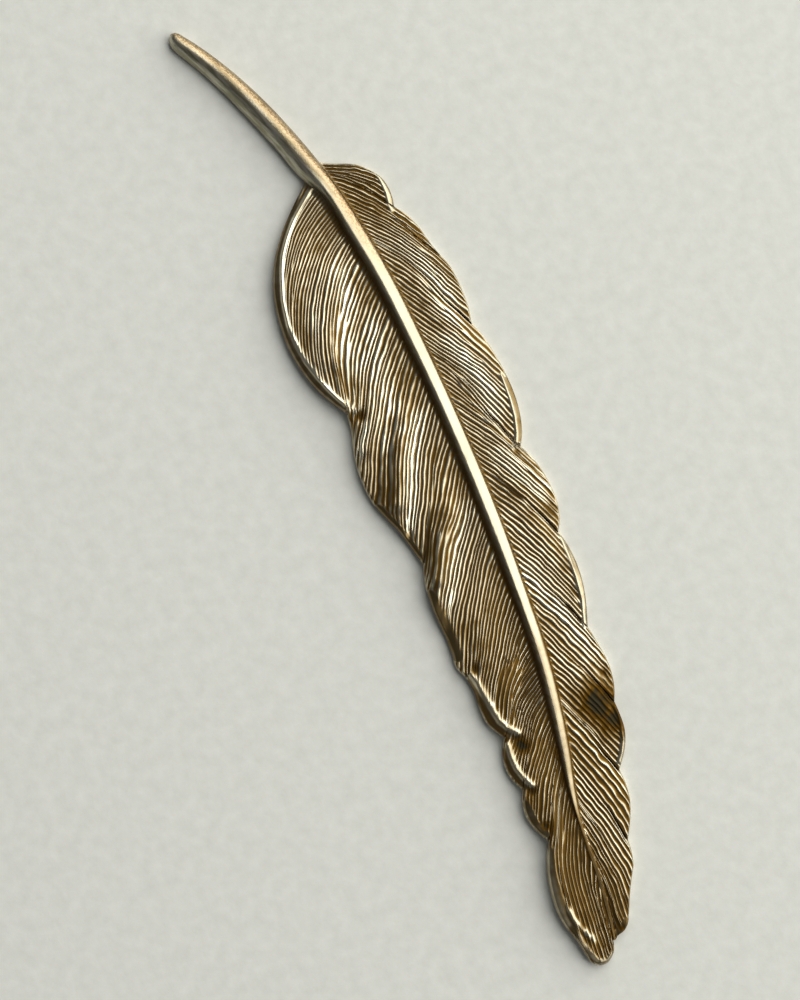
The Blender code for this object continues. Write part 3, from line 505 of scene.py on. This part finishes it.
def ridges(side, number, y, v, x, yy, rubbed_and_highlit):
    """Engraving from 0 in a groove to 1 on a crest, and the ridge's own width."""
    sharp = 1.8 - 1.3 * rubbed_and_highlit + 3.0 * steady(AGE[side], 1, y)
    step = np.gradient(-STARTS[side])
    rate = 1 / np.interp(number, np.arange(len(step)), step)
    width = spacing(side, y, v) / rate
    pitch = steady(PITCH[side], 1, y)
    level = np.clip(np.log2(pitch / np.maximum(width, 0.01)) + MERGE_EARLY, 0, 4.99)
    number = number + 0.1 * ripple(x, yy, 1.3, 90)
    shape = np.zeros(y.shape)
    left_over = np.ones(y.shape)
    for k in range(6):
        # Ridges of this order run together in pairs, each pair at a place of its own.
        turn = number / 2 ** k
        place = k + 0.5 + MERGE_SCATTER * np.sin(np.floor(turn / 2) * SCRAMBLE + 2.0 * k)
        merged = ease((level - place) / MERGE_LENGTH + 0.5)
        vary = 0.83 + 0.25 * np.sin(np.floor(turn) * SCRAMBLE + k)
        vary += 0.16 * ripple(x, yy, 2.6, 40 + k)
        vary += 0.14 * ripple(x, yy, 0.9, 50 + k)
        wave = 0.5 - 0.5 * np.cos(2 * math.pi * turn)
        shape += left_over * (1 - merged) * wave ** sharp * np.clip(vary, 0.55, 1.15)
        left_over = left_over * merged
    crowded = ease(level - FADE_LEVEL)
    shape = np.clip(shape, 0, 1) * (1 - crowded) + EVEN_CUT * crowded
    return shape, np.clip(width * 2 ** level / pitch, 0.3, 1.3)


# %% Height of a point on a vane
def vane_height(side, number, y, v, x, yy):
    """Height over the back, the dark patina and painted shade the point holds, and how rubbed
    and painted with highlights it is.
    """
    foot = steady(SHAFT_FOOT, 1, y)
    rise = steady([(-d[0], d[1]) for d in DOME[side]], 1, -v) * steady(DOME_GAIN[side], 1, y)
    lap = np.zeros(y.shape)
    for notch, first in zip(NOTCHES[side], LOBE_RIDGES[side]):
        over = np.where(number < first + 0.01, 1.0, -1.0)
        lap += over * np.exp(-np.abs(y - notch) / SHINGLE_REACH)
    outer = FOLD_GAIN[side] * steady(FOLDS[side], 1, y) * ease(v / 0.45)
    outer += SHINGLE_HEIGHT * lap * ease((v - 0.45) / 0.5)
    across = np.linspace(0, 1, 60)
    top_edge = np.stack(barb(side, np.full(60, VANE_TOP[side]), across), -1)
    last = float(len(LOBES[side]))
    rim = np.stack(outline(side, np.linspace(0, last, 60 * len(LOBES[side]))), -1)
    inside = np.minimum(near(x, yy, rim)[0], near(x, yy, top_edge)[0])
    round_off = 1 - (1 - np.clip(inside / EDGE_ROUND[side], 0, 1)) ** 2
    swell = np.zeros(y.shape)
    if side < 0:
        for line, height, gentle, steep in SWELLS:
            d, hand, along = near(x, yy, line)
            reach = np.where(hand > 0, steep, gentle)
            taper = ease(np.minimum(along / 0.2, (1 - along) / 0.08))
            swell += height * taper * (0.5 + 0.5 * np.cos(math.pi * np.clip(d / reach, 0, 1)))
    plain = np.zeros(y.shape)
    tarnish = np.zeros(y.shape)
    for line, half, stain_and_shade in PLAIN:
        band = 1 - ease((near(x, yy, line)[0] - half) / 0.2)
        plain = np.maximum(plain, band)
        tarnish = np.maximum(tarnish, stain_and_shade * band)
    bead = np.zeros(y.shape)
    for line, height, width in BEADS:
        away = near(x, yy, line)[0]
        bead = np.maximum(bead, height * np.exp(-(away / width) ** 2))
        plain = np.maximum(plain, 1 - ease((away - 0.8 * width) / 0.2))
    hollow = np.zeros(y.shape)
    dark = np.zeros(y.shape)
    # Each pocket paints shade: its dark is painted colour, over a small hollow where it has
    # depth.
    for px, py, radius, depth, stain_and_shade in POCKETS:
        away = np.hypot(x - px, yy - py) / radius + 0.16 * ripple(x, yy, 1.3, 60)
        away += 0.08 * ripple(x, yy, 0.5, 61)
        pit = np.exp(-(np.maximum(away, 0) / 0.92) ** 1.7)
        hollow += depth * pit
        dark = np.maximum(dark, stain_and_shade * pit)
    # The rubbed places also paint highlights where the folds face the light.
    rubbed_and_highlit = 0.28 * ease((y + 40.0) / 6.0)
    for line, half, strength in RUBBED_AND_HIGHLIT:
        worn_and_highlit = np.exp(-(near(x, yy, line)[0] / (1.4 * half)) ** 2)
        rubbed_and_highlit = np.maximum(rubbed_and_highlit, strength * worn_and_highlit)
    cut, width = ridges(side, number, y, v, x, yy, rubbed_and_highlit)
    engraved = (1 - plain) * ease(inside / 0.15) * ease(v / 0.03)
    relief = RIDGE_HEIGHT[side] * (0.6 + 0.5 * rubbed_and_highlit) * width * (cut - EVEN_CUT) * 2 * engraved
    surface = foot + rise + outer + swell - hollow
    edge = EDGE_HEIGHT + 0.5 * outer
    height = edge + (surface - edge) * round_off + bead * round_off + relief
    aged = steady(AGE[side], 1, y)
    patina_and_shade = AGE_PATINA * aged + (1 - 0.05 * aged) * (1 - cut) ** GRIME_EDGE[side] * engraved
    patina_and_shade = np.maximum(patina_and_shade, tarnish * (1 - np.clip(bead / 0.15, 0, 1)))
    patina_and_shade += 0.08 * np.clip(ripple(x, yy, 1.5, 70), 0, 1)
    # The painted shade of the pockets is added to the patina here.
    patina_and_shade = np.maximum(patina_and_shade, 1.25 * dark * (1 - 0.15 * cut))
    seam = SEAM_PATINA * np.exp(-(v / 0.015) ** 2) * ease((y + 37.0) / 2.0)
    height = foot + (height - foot) * ease(v / 0.05)
    # Ridge by ridge, the painted highlights are made stronger or weaker.
    uneven = 0.9 + 0.3 * np.sin(np.floor(number) * 7.13)
    return height, np.maximum(patina_and_shade, seam), rubbed_and_highlit * uneven * np.clip(1 - dark, 0, 1)


# %% [markdown]
# ## Building the mesh
# Three flat grids are added with the grid primitive: one for the quill and shaft, one for
# each vane. Their points are then moved onto the barb curves, because no operator draws a
# hundred curved ridges. The rows are closest where the ridges are closest.

# %% Rows and columns
INNER_COLUMNS = 27
RIM_COLUMNS = 14
RIM_BAND = 1.5
ROW_COUNT = 993
ROW_NUMBER = {s: np.linspace(0, RIDGE_COUNT[s], ROW_COUNT) for s in (-1, 1)}
ROWS = {s: np.interp(ROW_NUMBER[s], np.arange(RIDGE_COUNT[s] + 1), STARTS[s]) for s in (-1, 1)}


def columns(side, y):
    """Places along each barb: even ones, then a fine band of equal width along the rim."""
    sx, sy = shaft_edge(side, y)
    rx, ry = outline(side, steady(GUIDES[side], 1, y))
    length = 1.05 * np.hypot(rx - sx, ry - sy)
    band = np.minimum(RIM_BAND / length, 0.45)
    inner = np.linspace(0, 1, INNER_COLUMNS, endpoint=False)
    rim = 1 - (1 - np.linspace(0, 1, RIM_COLUMNS)) ** 1.3
    return np.hstack([np.outer(1 - band, inner), 1 - np.outer(band, 1 - rim)])


print("rows and columns of a vane:", ROW_COUNT, INNER_COLUMNS + RIM_COLUMNS)


# %% One grid, bent to the given points
def bent_grid(name, points, marks):
    rows, columns, _ = points.shape
    bpy.ops.object.select_all(action="DESELECT")
    bpy.ops.mesh.primitive_grid_add(x_subdivisions=columns - 1, y_subdivisions=rows - 1, size=2)
    piece = bpy.context.object
    piece.name = name
    flat = np.zeros(len(piece.data.vertices) * 3)
    piece.data.vertices.foreach_get("co", flat)
    flat = flat.reshape(-1, 3)
    i = np.rint((1 - flat[:, 1]) / 2 * (rows - 1)).astype(int)
    j = np.rint((flat[:, 0] + 1) / 2 * (columns - 1)).astype(int)
    piece.data.vertices.foreach_set("co", (points[i, j] * MM).ravel())
    for key, values in marks.items():
        mark = piece.data.attributes.new(key, "FLOAT", "POINT")
        mark.data.foreach_set("value", values[i, j].astype(np.float32).ravel())
    piece.data.update()
    print(name, rows, "rows of", columns)
    return piece


# %% The two vanes
WANDER = {-1: 0.1, 1: 0.05}


def vane(side, name):
    v = columns(side, ROWS[side])
    y = np.repeat(ROWS[side][:, None], v.shape[1], axis=1)
    number = np.repeat(ROW_NUMBER[side][:, None], v.shape[1], axis=1)
    x, yy = barb(side, y, v)
    free = ease(v / 0.3) * ease((1 - v) / 0.3) * ease((y - TIP_END) / 6.0)
    free *= ease((VANE_TOP[side] - y) / 2.0)
    shift = WANDER[side] * free * ripple(x, yy, 6.0, 11 + side)
    x = x + shift
    yy = yy + side * shift
    z, patina_and_shade, polish_and_highlight = vane_height(side, number, y, v, x, yy)
    return bent_grid(name, np.stack([x, yy, z], -1), {"patina_and_shade": patina_and_shade, "polish_and_highlight": polish_and_highlight})


left_vane = vane(-1, "left_vane")
right_vane = vane(1, "right_vane")

# %% [markdown]
# ## The shaft
# The shaft is a rounded rib. Its left side is steeper, and its crest is nearly flat and
# polished by handling. The bare quill is the same rib, with a rounded end. Each list that
# follows the columns runs across the shaft, from its left edge to its right edge.

# %% The shaft and quill
SHAFT_POLISH = [
    (50.4, 0.0), (38.0, 0.0), (31.0, 0.1), (26.0, 0.1), (20.0, 0.3), (-16.0, 0.3),
    (-21.0, 0.2), (-34.0, 0.1), (-48.3, 0.0),
]
SHAFT_COPPER = [
    (50.4, 0.85), (36.0, 0.85), (29.0, 0.95), (24.0, 0.65), (18.0, 0.25), (-16.0, 0.1),
    (-28.0, 0.2), (-36.0, 0.3), (-48.3, 0.0),
]
SHAFT_AGE = [
    (50.4, 0.05), (36.0, 0.05), (31.0, 0.1), (26.0, 0.1), (20.0, 0.05), (-14.0, 0.05),
    (-20.0, 0.2), (-34.0, 0.3), (-37.0, 0.6), (-48.3, 0.6),
]
SHAFT_COLUMNS = np.array([-1.0, -0.86, -0.68, -0.5, -0.32, -0.12, 0.2, 0.5, 0.74, 0.88, 1.0])
RIB = np.array([0.0, 0.30, 0.64, 0.90, 1.0, 0.97, 0.88, 0.79, 0.70, 0.42, 0.0])
QUILL = np.array([0.0, 0.34, 0.58, 0.77, 0.91, 0.98, 1.0, 0.85, 0.66, 0.42, 0.0])
# RIB_DARK paints shade on the rib's left flank, which faces away from the window, with patina at
# its two feet. LOW_DARK paints more shade on the lower rib, beside its highlight. QUILL_DARK
# paints a dark reflection along the middle of the quill.
RIB_DARK = np.array([0.95, 0.85, 0.7, 0.45, 0.2, 0.05, 0.0, 0.0, 0.05, 0.35, 0.8])
LOW_DARK = np.array([0.0, 0.1, 0.2, 0.4, 0.5, 0.2, 0.0, 0.0, 0.35, 0.5, 0.3])
QUILL_DARK = np.array([0.2, 0.0, 0.0, 0.1, 0.3, 0.45, 0.4, 0.05, 0.1, 0.15, 0.3])
# QUILL_GREY makes the quill's left side a lighter, streaky grey, partly a painted reflection of
# the pale paper. RIB_GREY tints the painted shade on the rib's left flank.
RIB_GREY = np.array([0.0, 0.1, 0.25, 0.38, 0.45, 0.25, 0.0, 0.0, 0.0, 0.0, 0.0])
QUILL_GREY = np.array([0.7, 0.9, 0.95, 0.95, 0.9, 0.85, 0.35, 0.0, 0.0, 0.0, 0.35])
WARM = np.array([0.0, 0.0, 0.0, 0.0, 0.0, 0.0, 0.45, 0.8, 1.0, 1.0, 0.6])
quill_rows = np.r_[QUILL_END, 50.33, 50.28, np.arange(50.2, VANE_TOP[1] + 0.1, -0.22)]
left = np.r_[quill_rows, ROWS[-1]]
right = np.r_[quill_rows, ROWS[1]]
w = (SHAFT_COLUMNS + 1) / 2
lx, ly = shaft_edge(-1, left)
rx, ry = shaft_edge(1, right)
x = np.outer(lx, 1 - w) + np.outer(rx, w)
y = np.outer(ly, 1 - w) + np.outer(ry, w)
station = np.outer(left, 1 - w) + np.outer(right, w)
foot = steady(SHAFT_FOOT, 1, station)
on_vane = ease((34.0 - station) / 4.0)
section = QUILL * (1 - on_vane) + RIB * on_vane
z = foot + (steady(SHAFT_CREST, 1, station) - foot) * section
z += 0.006 * ripple(x, y, 0.9, 8) * (section > 0)
streaks = ripple(station / 7.0, np.tile(SHAFT_COLUMNS * 1.5, (len(left), 1)), 1.0, 21)
low = ease((-6.0 - station) / 12.0)
on_rib = ease((34.0 - station) / 7.0)
# The dark across the shaft is painted shade and a painted dark reflection, with streaky tarnish
# on the quill.
dark = (QUILL_DARK + 0.3 * streaks) * (1 - on_rib) + (RIB_DARK + low * LOW_DARK) * on_rib
age = steady(SHAFT_AGE, 1, station)
patina_and_shade = age + (1 - age) * np.clip(dark, 0, 1)
copper = steady(SHAFT_COPPER, 1, station) * WARM
grey = np.clip(QUILL_GREY - 0.12 * streaks, 0, 1) * (1 - on_rib) + RIB_GREY * on_rib
grey *= ease((station + 36.0) / 4.0)
polish_and_highlight = ease(section / 0.6) * steady(SHAFT_POLISH, 1, station)
shaft = bent_grid("shaft", np.stack([x, y, z], -1),
                  {"patina_and_shade": patina_and_shade, "polish_and_highlight": polish_and_highlight, "copper": copper, "grey": grey})

# %% [markdown]
# ## One closed plate
# The three sheets are joined, their shared points merged and faces without any width removed.
# The open rim is extruded down to the flat back, and the back is filled. The count of points
# on open or crowded edges has to be zero.

# %% Join and close
SAME_POINT = 0.000004
bpy.ops.object.select_all(action="DESELECT")
for piece in (left_vane, right_vane, shaft):
    piece.select_set(True)
bpy.context.view_layer.objects.active = shaft
bpy.ops.object.join()
feather = bpy.context.object
feather.name = "metal_feather"
bpy.ops.object.mode_set(mode="EDIT")
bpy.ops.mesh.select_mode(type="VERT")
bpy.ops.mesh.select_all(action="SELECT")
bpy.ops.mesh.remove_doubles(threshold=SAME_POINT)
bpy.ops.mesh.dissolve_degenerate(threshold=SAME_POINT)
bpy.ops.mesh.select_all(action="DESELECT")
bpy.ops.mesh.select_non_manifold(extend=False, use_wire=False, use_boundary=True,
                                 use_multi_face=False, use_non_contiguous=False,
                                 use_verts=False)
bpy.ops.mesh.extrude_edges_move()
bpy.ops.transform.resize(value=(1, 1, 0), center_override=(0, 0, 0))
bpy.ops.mesh.edge_face_add()
bpy.ops.mesh.select_all(action="SELECT")
bpy.ops.transform.translate(value=(-CENTRE[0] * MM, -CENTRE[1] * MM, 0))
bpy.ops.mesh.normals_make_consistent(inside=False)
bpy.ops.mesh.select_all(action="DESELECT")
bpy.ops.mesh.select_non_manifold()
print("points on open or crowded edges:", feather.data.total_vert_sel)
bpy.ops.object.mode_set(mode="OBJECT")
bpy.ops.object.shade_smooth_by_angle(angle=math.radians(75))
feather.data.calc_loop_triangles()
print("triangles:", len(feather.data.loop_triangles))


# %% [markdown]
# ## Antique brass
# The metal was plated, darkened with a brown patina, then rubbed, so the crests are bright
# and the grooves stay dark. The attribute of patina and painted shade drives the dark: patina
# in the grooves, and painted shade in the pockets and on the shaded sides of the shaft. The
# attribute of polish and painted highlights drives the bright: rubbing, and painted highlights
# on the folds that face the light. Two more make the quill coppery on its right side and grey
# on its left, the grey partly a painted reflection of the pale paper. Fine noises break them
# up, and a low bump gives the skin of a casting.

# %% The metal's nodes
def node(tree, kind, place, **settings):
    made = tree.nodes.new(kind)
    made.location = place
    for key, value in settings.items():
        setattr(made, key, value)
    return made


# The three darkest colours below are patina colours that also paint the shade in the pockets and
# on the shaded sides of the shaft. The brightest is rubbed metal that also paints highlights on
# the folds that face the light.
DULL = (0.41, 0.345, 0.22, 1.0)
BRIGHT = (0.79, 0.74, 0.575, 1.0)
COPPER = (0.47, 0.34, 0.19, 1.0)
COPPER_LOW = (0.27, 0.17, 0.075, 1.0)
# The two greys are partly a painted reflection of the pale paper on the quill's left side.
GREY = (0.50, 0.475, 0.385, 1.0)
GREY_LOW = (0.27, 0.255, 0.175, 1.0)
SHADE_AND_STAIN = (0.18, 0.126, 0.055, 1.0)
SHADE_AND_DIRT = (0.13, 0.066, 0.008, 1.0)
BLACK = (0.05, 0.042, 0.022, 1.0)


def smooth_range(tree, place, value, low, high):
    made = node(tree, "ShaderNodeMapRange", place, interpolation_type="SMOOTHSTEP")
    made.inputs["From Min"].default_value = low
    made.inputs["From Max"].default_value = high
    tree.links.new(value, made.inputs["Value"])
    return made.outputs["Result"]


def colour_mix(tree, place, factor, first, second):
    """A blend of two colours. Each is a fixed colour or the output of another node."""
    made = node(tree, "ShaderNodeMix", place, data_type="RGBA")
    tree.links.new(factor, made.inputs["Factor"])
    for key, colour in (("A", first), ("B", second)):
        if isinstance(colour, tuple):
            made.inputs[key].default_value = colour
        else:
            tree.links.new(colour, made.inputs[key])
    return made.outputs["Result"]


QUILL_TURN = math.atan2(6.6, 17.35)


def antique_brass():
    metal = bpy.data.materials.new("antique_brass")
    metal.use_nodes = True
    tree = metal.node_tree
    shader = tree.nodes["Principled BSDF"]
    link = tree.links.new
    shader.inputs["Metallic"].default_value = 1.0
    spot = node(tree, "ShaderNodeTexCoord", (-1400, 0))
    held = node(tree, "ShaderNodeAttribute", (-1400, 300), attribute_name="patina_and_shade")
    polish_and_highlight = node(tree, "ShaderNodeAttribute", (-1400, -500), attribute_name="polish_and_highlight")
    reddish = node(tree, "ShaderNodeAttribute", (-1400, -700), attribute_name="copper")
    greyish = node(tree, "ShaderNodeAttribute", (-1400, -900), attribute_name="grey")
    grain = node(tree, "ShaderNodeTexNoise", (-1200, -100))
    grain.inputs["Scale"].default_value = 900.0
    grain.inputs["Detail"].default_value = 4.0
    patches = node(tree, "ShaderNodeTexNoise", (-1200, -350))
    patches.inputs["Scale"].default_value = 160.0
    patches.inputs["Detail"].default_value = 3.0
    for texture in (grain, patches):
        link(spot.outputs["Object"], texture.inputs["Vector"])
    # The attribute of patina and painted shade sets how stained and how dark the metal is, so
    # the stain, dirt and near-black colours here paint shade as well as patina.
    wear_and_shade = node(tree, "ShaderNodeMath", (-1000, 200), operation="MULTIPLY_ADD")
    wear_and_shade.inputs[1].default_value = 0.4
    link(grain.outputs["Fac"], wear_and_shade.inputs[0])
    link(held.outputs["Fac"], wear_and_shade.inputs[2])
    stain_and_shade = smooth_range(tree, (-800, 300), wear_and_shade.outputs[0], 0.3, 0.8)
    dirt_and_shade = smooth_range(tree, (-800, 100), wear_and_shade.outputs[0], 0.75, 1.2)
    worn_and_highlit = node(tree, "ShaderNodeMath", (-800, -150), operation="MULTIPLY_ADD")
    worn_and_highlit.inputs[1].default_value = 0.3
    worn_and_highlit.inputs[2].default_value = -0.15
    link(patches.outputs["Fac"], worn_and_highlit.inputs[0])
    # Rubbing and painted highlights both turn the metal brighter and smoother here.
    shine = node(tree, "ShaderNodeMath", (-650, -150), operation="ADD", use_clamp=True)
    link(worn_and_highlit.outputs[0], shine.inputs[0])
    link(polish_and_highlight.outputs["Fac"], shine.inputs[1])
    metal_tone = colour_mix(tree, (-450, -50), shine.outputs[0], DULL, BRIGHT)
    speckle = node(tree, "ShaderNodeTexNoise", (-1200, -600))
    speckle.inputs["Scale"].default_value = 4200.0
    speckle.inputs["Detail"].default_value = 2.0
    link(spot.outputs["Object"], speckle.inputs["Vector"])
    mottled = smooth_range(tree, (-800, -600), speckle.outputs["Fac"], 0.4, 0.55)
    copper_tone = colour_mix(tree, (-600, -700), mottled, COPPER_LOW, COPPER)
    coppered = colour_mix(tree, (-350, 0), reddish.outputs["Fac"], metal_tone, copper_tone)
    stained_and_shaded = colour_mix(tree, (-250, 50), stain_and_shade, coppered, SHADE_AND_STAIN)
    dirtied_and_shaded = colour_mix(tree, (-50, 100), dirt_and_shade, stained_and_shaded, SHADE_AND_DIRT)
    along = node(tree, "ShaderNodeMapping", (-1200, -900), vector_type="TEXTURE")
    along.inputs["Rotation"].default_value = (0.0, 0.0, QUILL_TURN)
    along.inputs["Scale"].default_value = (1.0, 9.0, 1.0)
    link(spot.outputs["Object"], along.inputs["Vector"])
    streak = node(tree, "ShaderNodeTexNoise", (-1000, -900))
    streak.inputs["Scale"].default_value = 3000.0
    streak.inputs["Detail"].default_value = 3.0
    link(along.outputs["Vector"], streak.inputs["Vector"])
    streaky = smooth_range(tree, (-800, -900), streak.outputs["Fac"], 0.4, 0.62)
    grey_tone = colour_mix(tree, (-600, -900), streaky, GREY_LOW, GREY)
    full = colour_mix(tree, (0, 50), greyish.outputs["Fac"], dirtied_and_shaded, grey_tone)
    # The darkest places, chiefly the pockets of painted shade, turn near black.
    deep = smooth_range(tree, (-800, 500), wear_and_shade.outputs[0], 1.17, 1.75)
    deepest = colour_mix(tree, (50, 150), deep, full, BLACK)
    link(deepest, shader.inputs["Base Color"])
    rough = node(tree, "ShaderNodeMapRange", (-450, -300))
    rough.inputs["To Min"].default_value = 0.4
    rough.inputs["To Max"].default_value = 0.23
    link(shine.outputs[0], rough.inputs["Value"])
    matt = node(tree, "ShaderNodeMath", (-200, -300), operation="MULTIPLY_ADD")
    matt.inputs[1].default_value = 0.35
    link(dirt_and_shade, matt.inputs[0])
    link(rough.outputs["Result"], matt.inputs[2])
    link(matt.outputs[0], shader.inputs["Roughness"])
    cast = node(tree, "ShaderNodeBump", (-550, -600))
    cast.inputs["Distance"].default_value = 0.0001
    link(reddish.outputs["Fac"], cast.inputs["Strength"])
    link(speckle.outputs["Fac"], cast.inputs["Height"])
    skin = node(tree, "ShaderNodeBump", (-350, -500))
    skin.inputs["Strength"].default_value = 0.25
    skin.inputs["Distance"].default_value = 0.00004
    link(grain.outputs["Fac"], skin.inputs["Height"])
    link(cast.outputs["Normal"], skin.inputs["Normal"])
    link(skin.outputs["Normal"], shader.inputs["Normal"])
    return metal


feather.data.materials.clear()
feather.data.materials.append(antique_brass())
print("material:", feather.data.materials[0].name)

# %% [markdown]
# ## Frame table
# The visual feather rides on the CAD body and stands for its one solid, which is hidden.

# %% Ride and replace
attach(feather, "root")
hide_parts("feather")
print("rides on root")

# %% [markdown]
# ## Floor
# The feather lies on pale textured paper, so the floor is plain, off-white and faintly
# uneven, with no pattern of its own.

# %% Paper floor
bpy.ops.object.select_all(action="DESELECT")
bpy.ops.mesh.primitive_plane_add(size=3.0, location=(0, 0, -0.00002))
floor = bpy.context.object
floor.name = "paper_floor"
paper = bpy.data.materials.new("pale_paper")
paper.use_nodes = True
tree = paper.node_tree
shader = tree.nodes["Principled BSDF"]
shader.inputs["Roughness"].default_value = 0.9
shader.inputs["Specular IOR Level"].default_value = 0.2
spot = node(tree, "ShaderNodeTexCoord", (-900, 0))
fibre = node(tree, "ShaderNodeTexNoise", (-700, 0))
fibre.inputs["Scale"].default_value = 700.0
fibre.inputs["Detail"].default_value = 5.0
tree.links.new(spot.outputs["Object"], fibre.inputs["Vector"])
shade = node(tree, "ShaderNodeMix", (-450, 0), data_type="RGBA")
shade.inputs["A"].default_value = (0.575, 0.585, 0.54, 1.0)
shade.inputs["B"].default_value = (0.72, 0.73, 0.685, 1.0)
tree.links.new(fibre.outputs["Fac"], shade.inputs["Factor"])
tree.links.new(shade.outputs["Result"], shader.inputs["Base Color"])
press = node(tree, "ShaderNodeBump", (-450, -300))
press.inputs["Strength"].default_value = 0.3
press.inputs["Distance"].default_value = 0.0001
tree.links.new(fibre.outputs["Fac"], press.inputs["Height"])
tree.links.new(press.outputs["Normal"], shader.inputs["Normal"])
floor.data.materials.append(paper)
print("floor size:", tuple(floor.dimensions))


# %% [markdown]
# ## Light and camera
# The photograph looks as if it was taken from straight above, in soft window light that comes
# from the upper right. The left sides of all ridges are dark and the shadow falls to the left.

# %% Lights
def soft_light(name, place, size, power, colour):
    bpy.ops.object.light_add(type="AREA", location=place)
    lamp = bpy.context.object
    lamp.name = name
    lamp.data.shape = "RECTANGLE"
    lamp.data.size = size[0]
    lamp.data.size_y = size[1]
    lamp.data.energy = power
    lamp.data.color = colour
    lamp.rotation_euler = (-Vector(place)).to_track_quat("-Z", "Y").to_euler()


soft_light("window", (0.64, 0.1, 0.5), (2.2, 1.15), 23.0, (1.0, 0.985, 0.95))
world = bpy.context.scene.world or bpy.data.worlds.new("room")
bpy.context.scene.world = world
world.use_nodes = True
world.node_tree.nodes["Background"].inputs["Color"].default_value = (0.95, 0.97, 1.0, 1.0)
world.node_tree.nodes["Background"].inputs["Strength"].default_value = 0.13
bpy.context.scene.view_settings.view_transform = "Standard"

# %% Camera
AIM = ((1.37 - CENTRE[0]) * MM, (-0.42 - CENTRE[1]) * MM)
DISTANCE = 0.30
SEEN = 0.0978
SURFACE = 0.001
PHOTO_TURN = math.asin(0.4196)
bpy.ops.object.camera_add(location=(AIM[0], AIM[1], DISTANCE), rotation=(0, 0, -PHOTO_TURN))
camera = bpy.context.object
camera.data.sensor_width = 36.0
camera.data.lens = 36.0 * (DISTANCE - SURFACE) / SEEN
camera.data.clip_start = 0.01
bpy.context.scene.camera = camera
print("lens in mm:", round(camera.data.lens, 1))
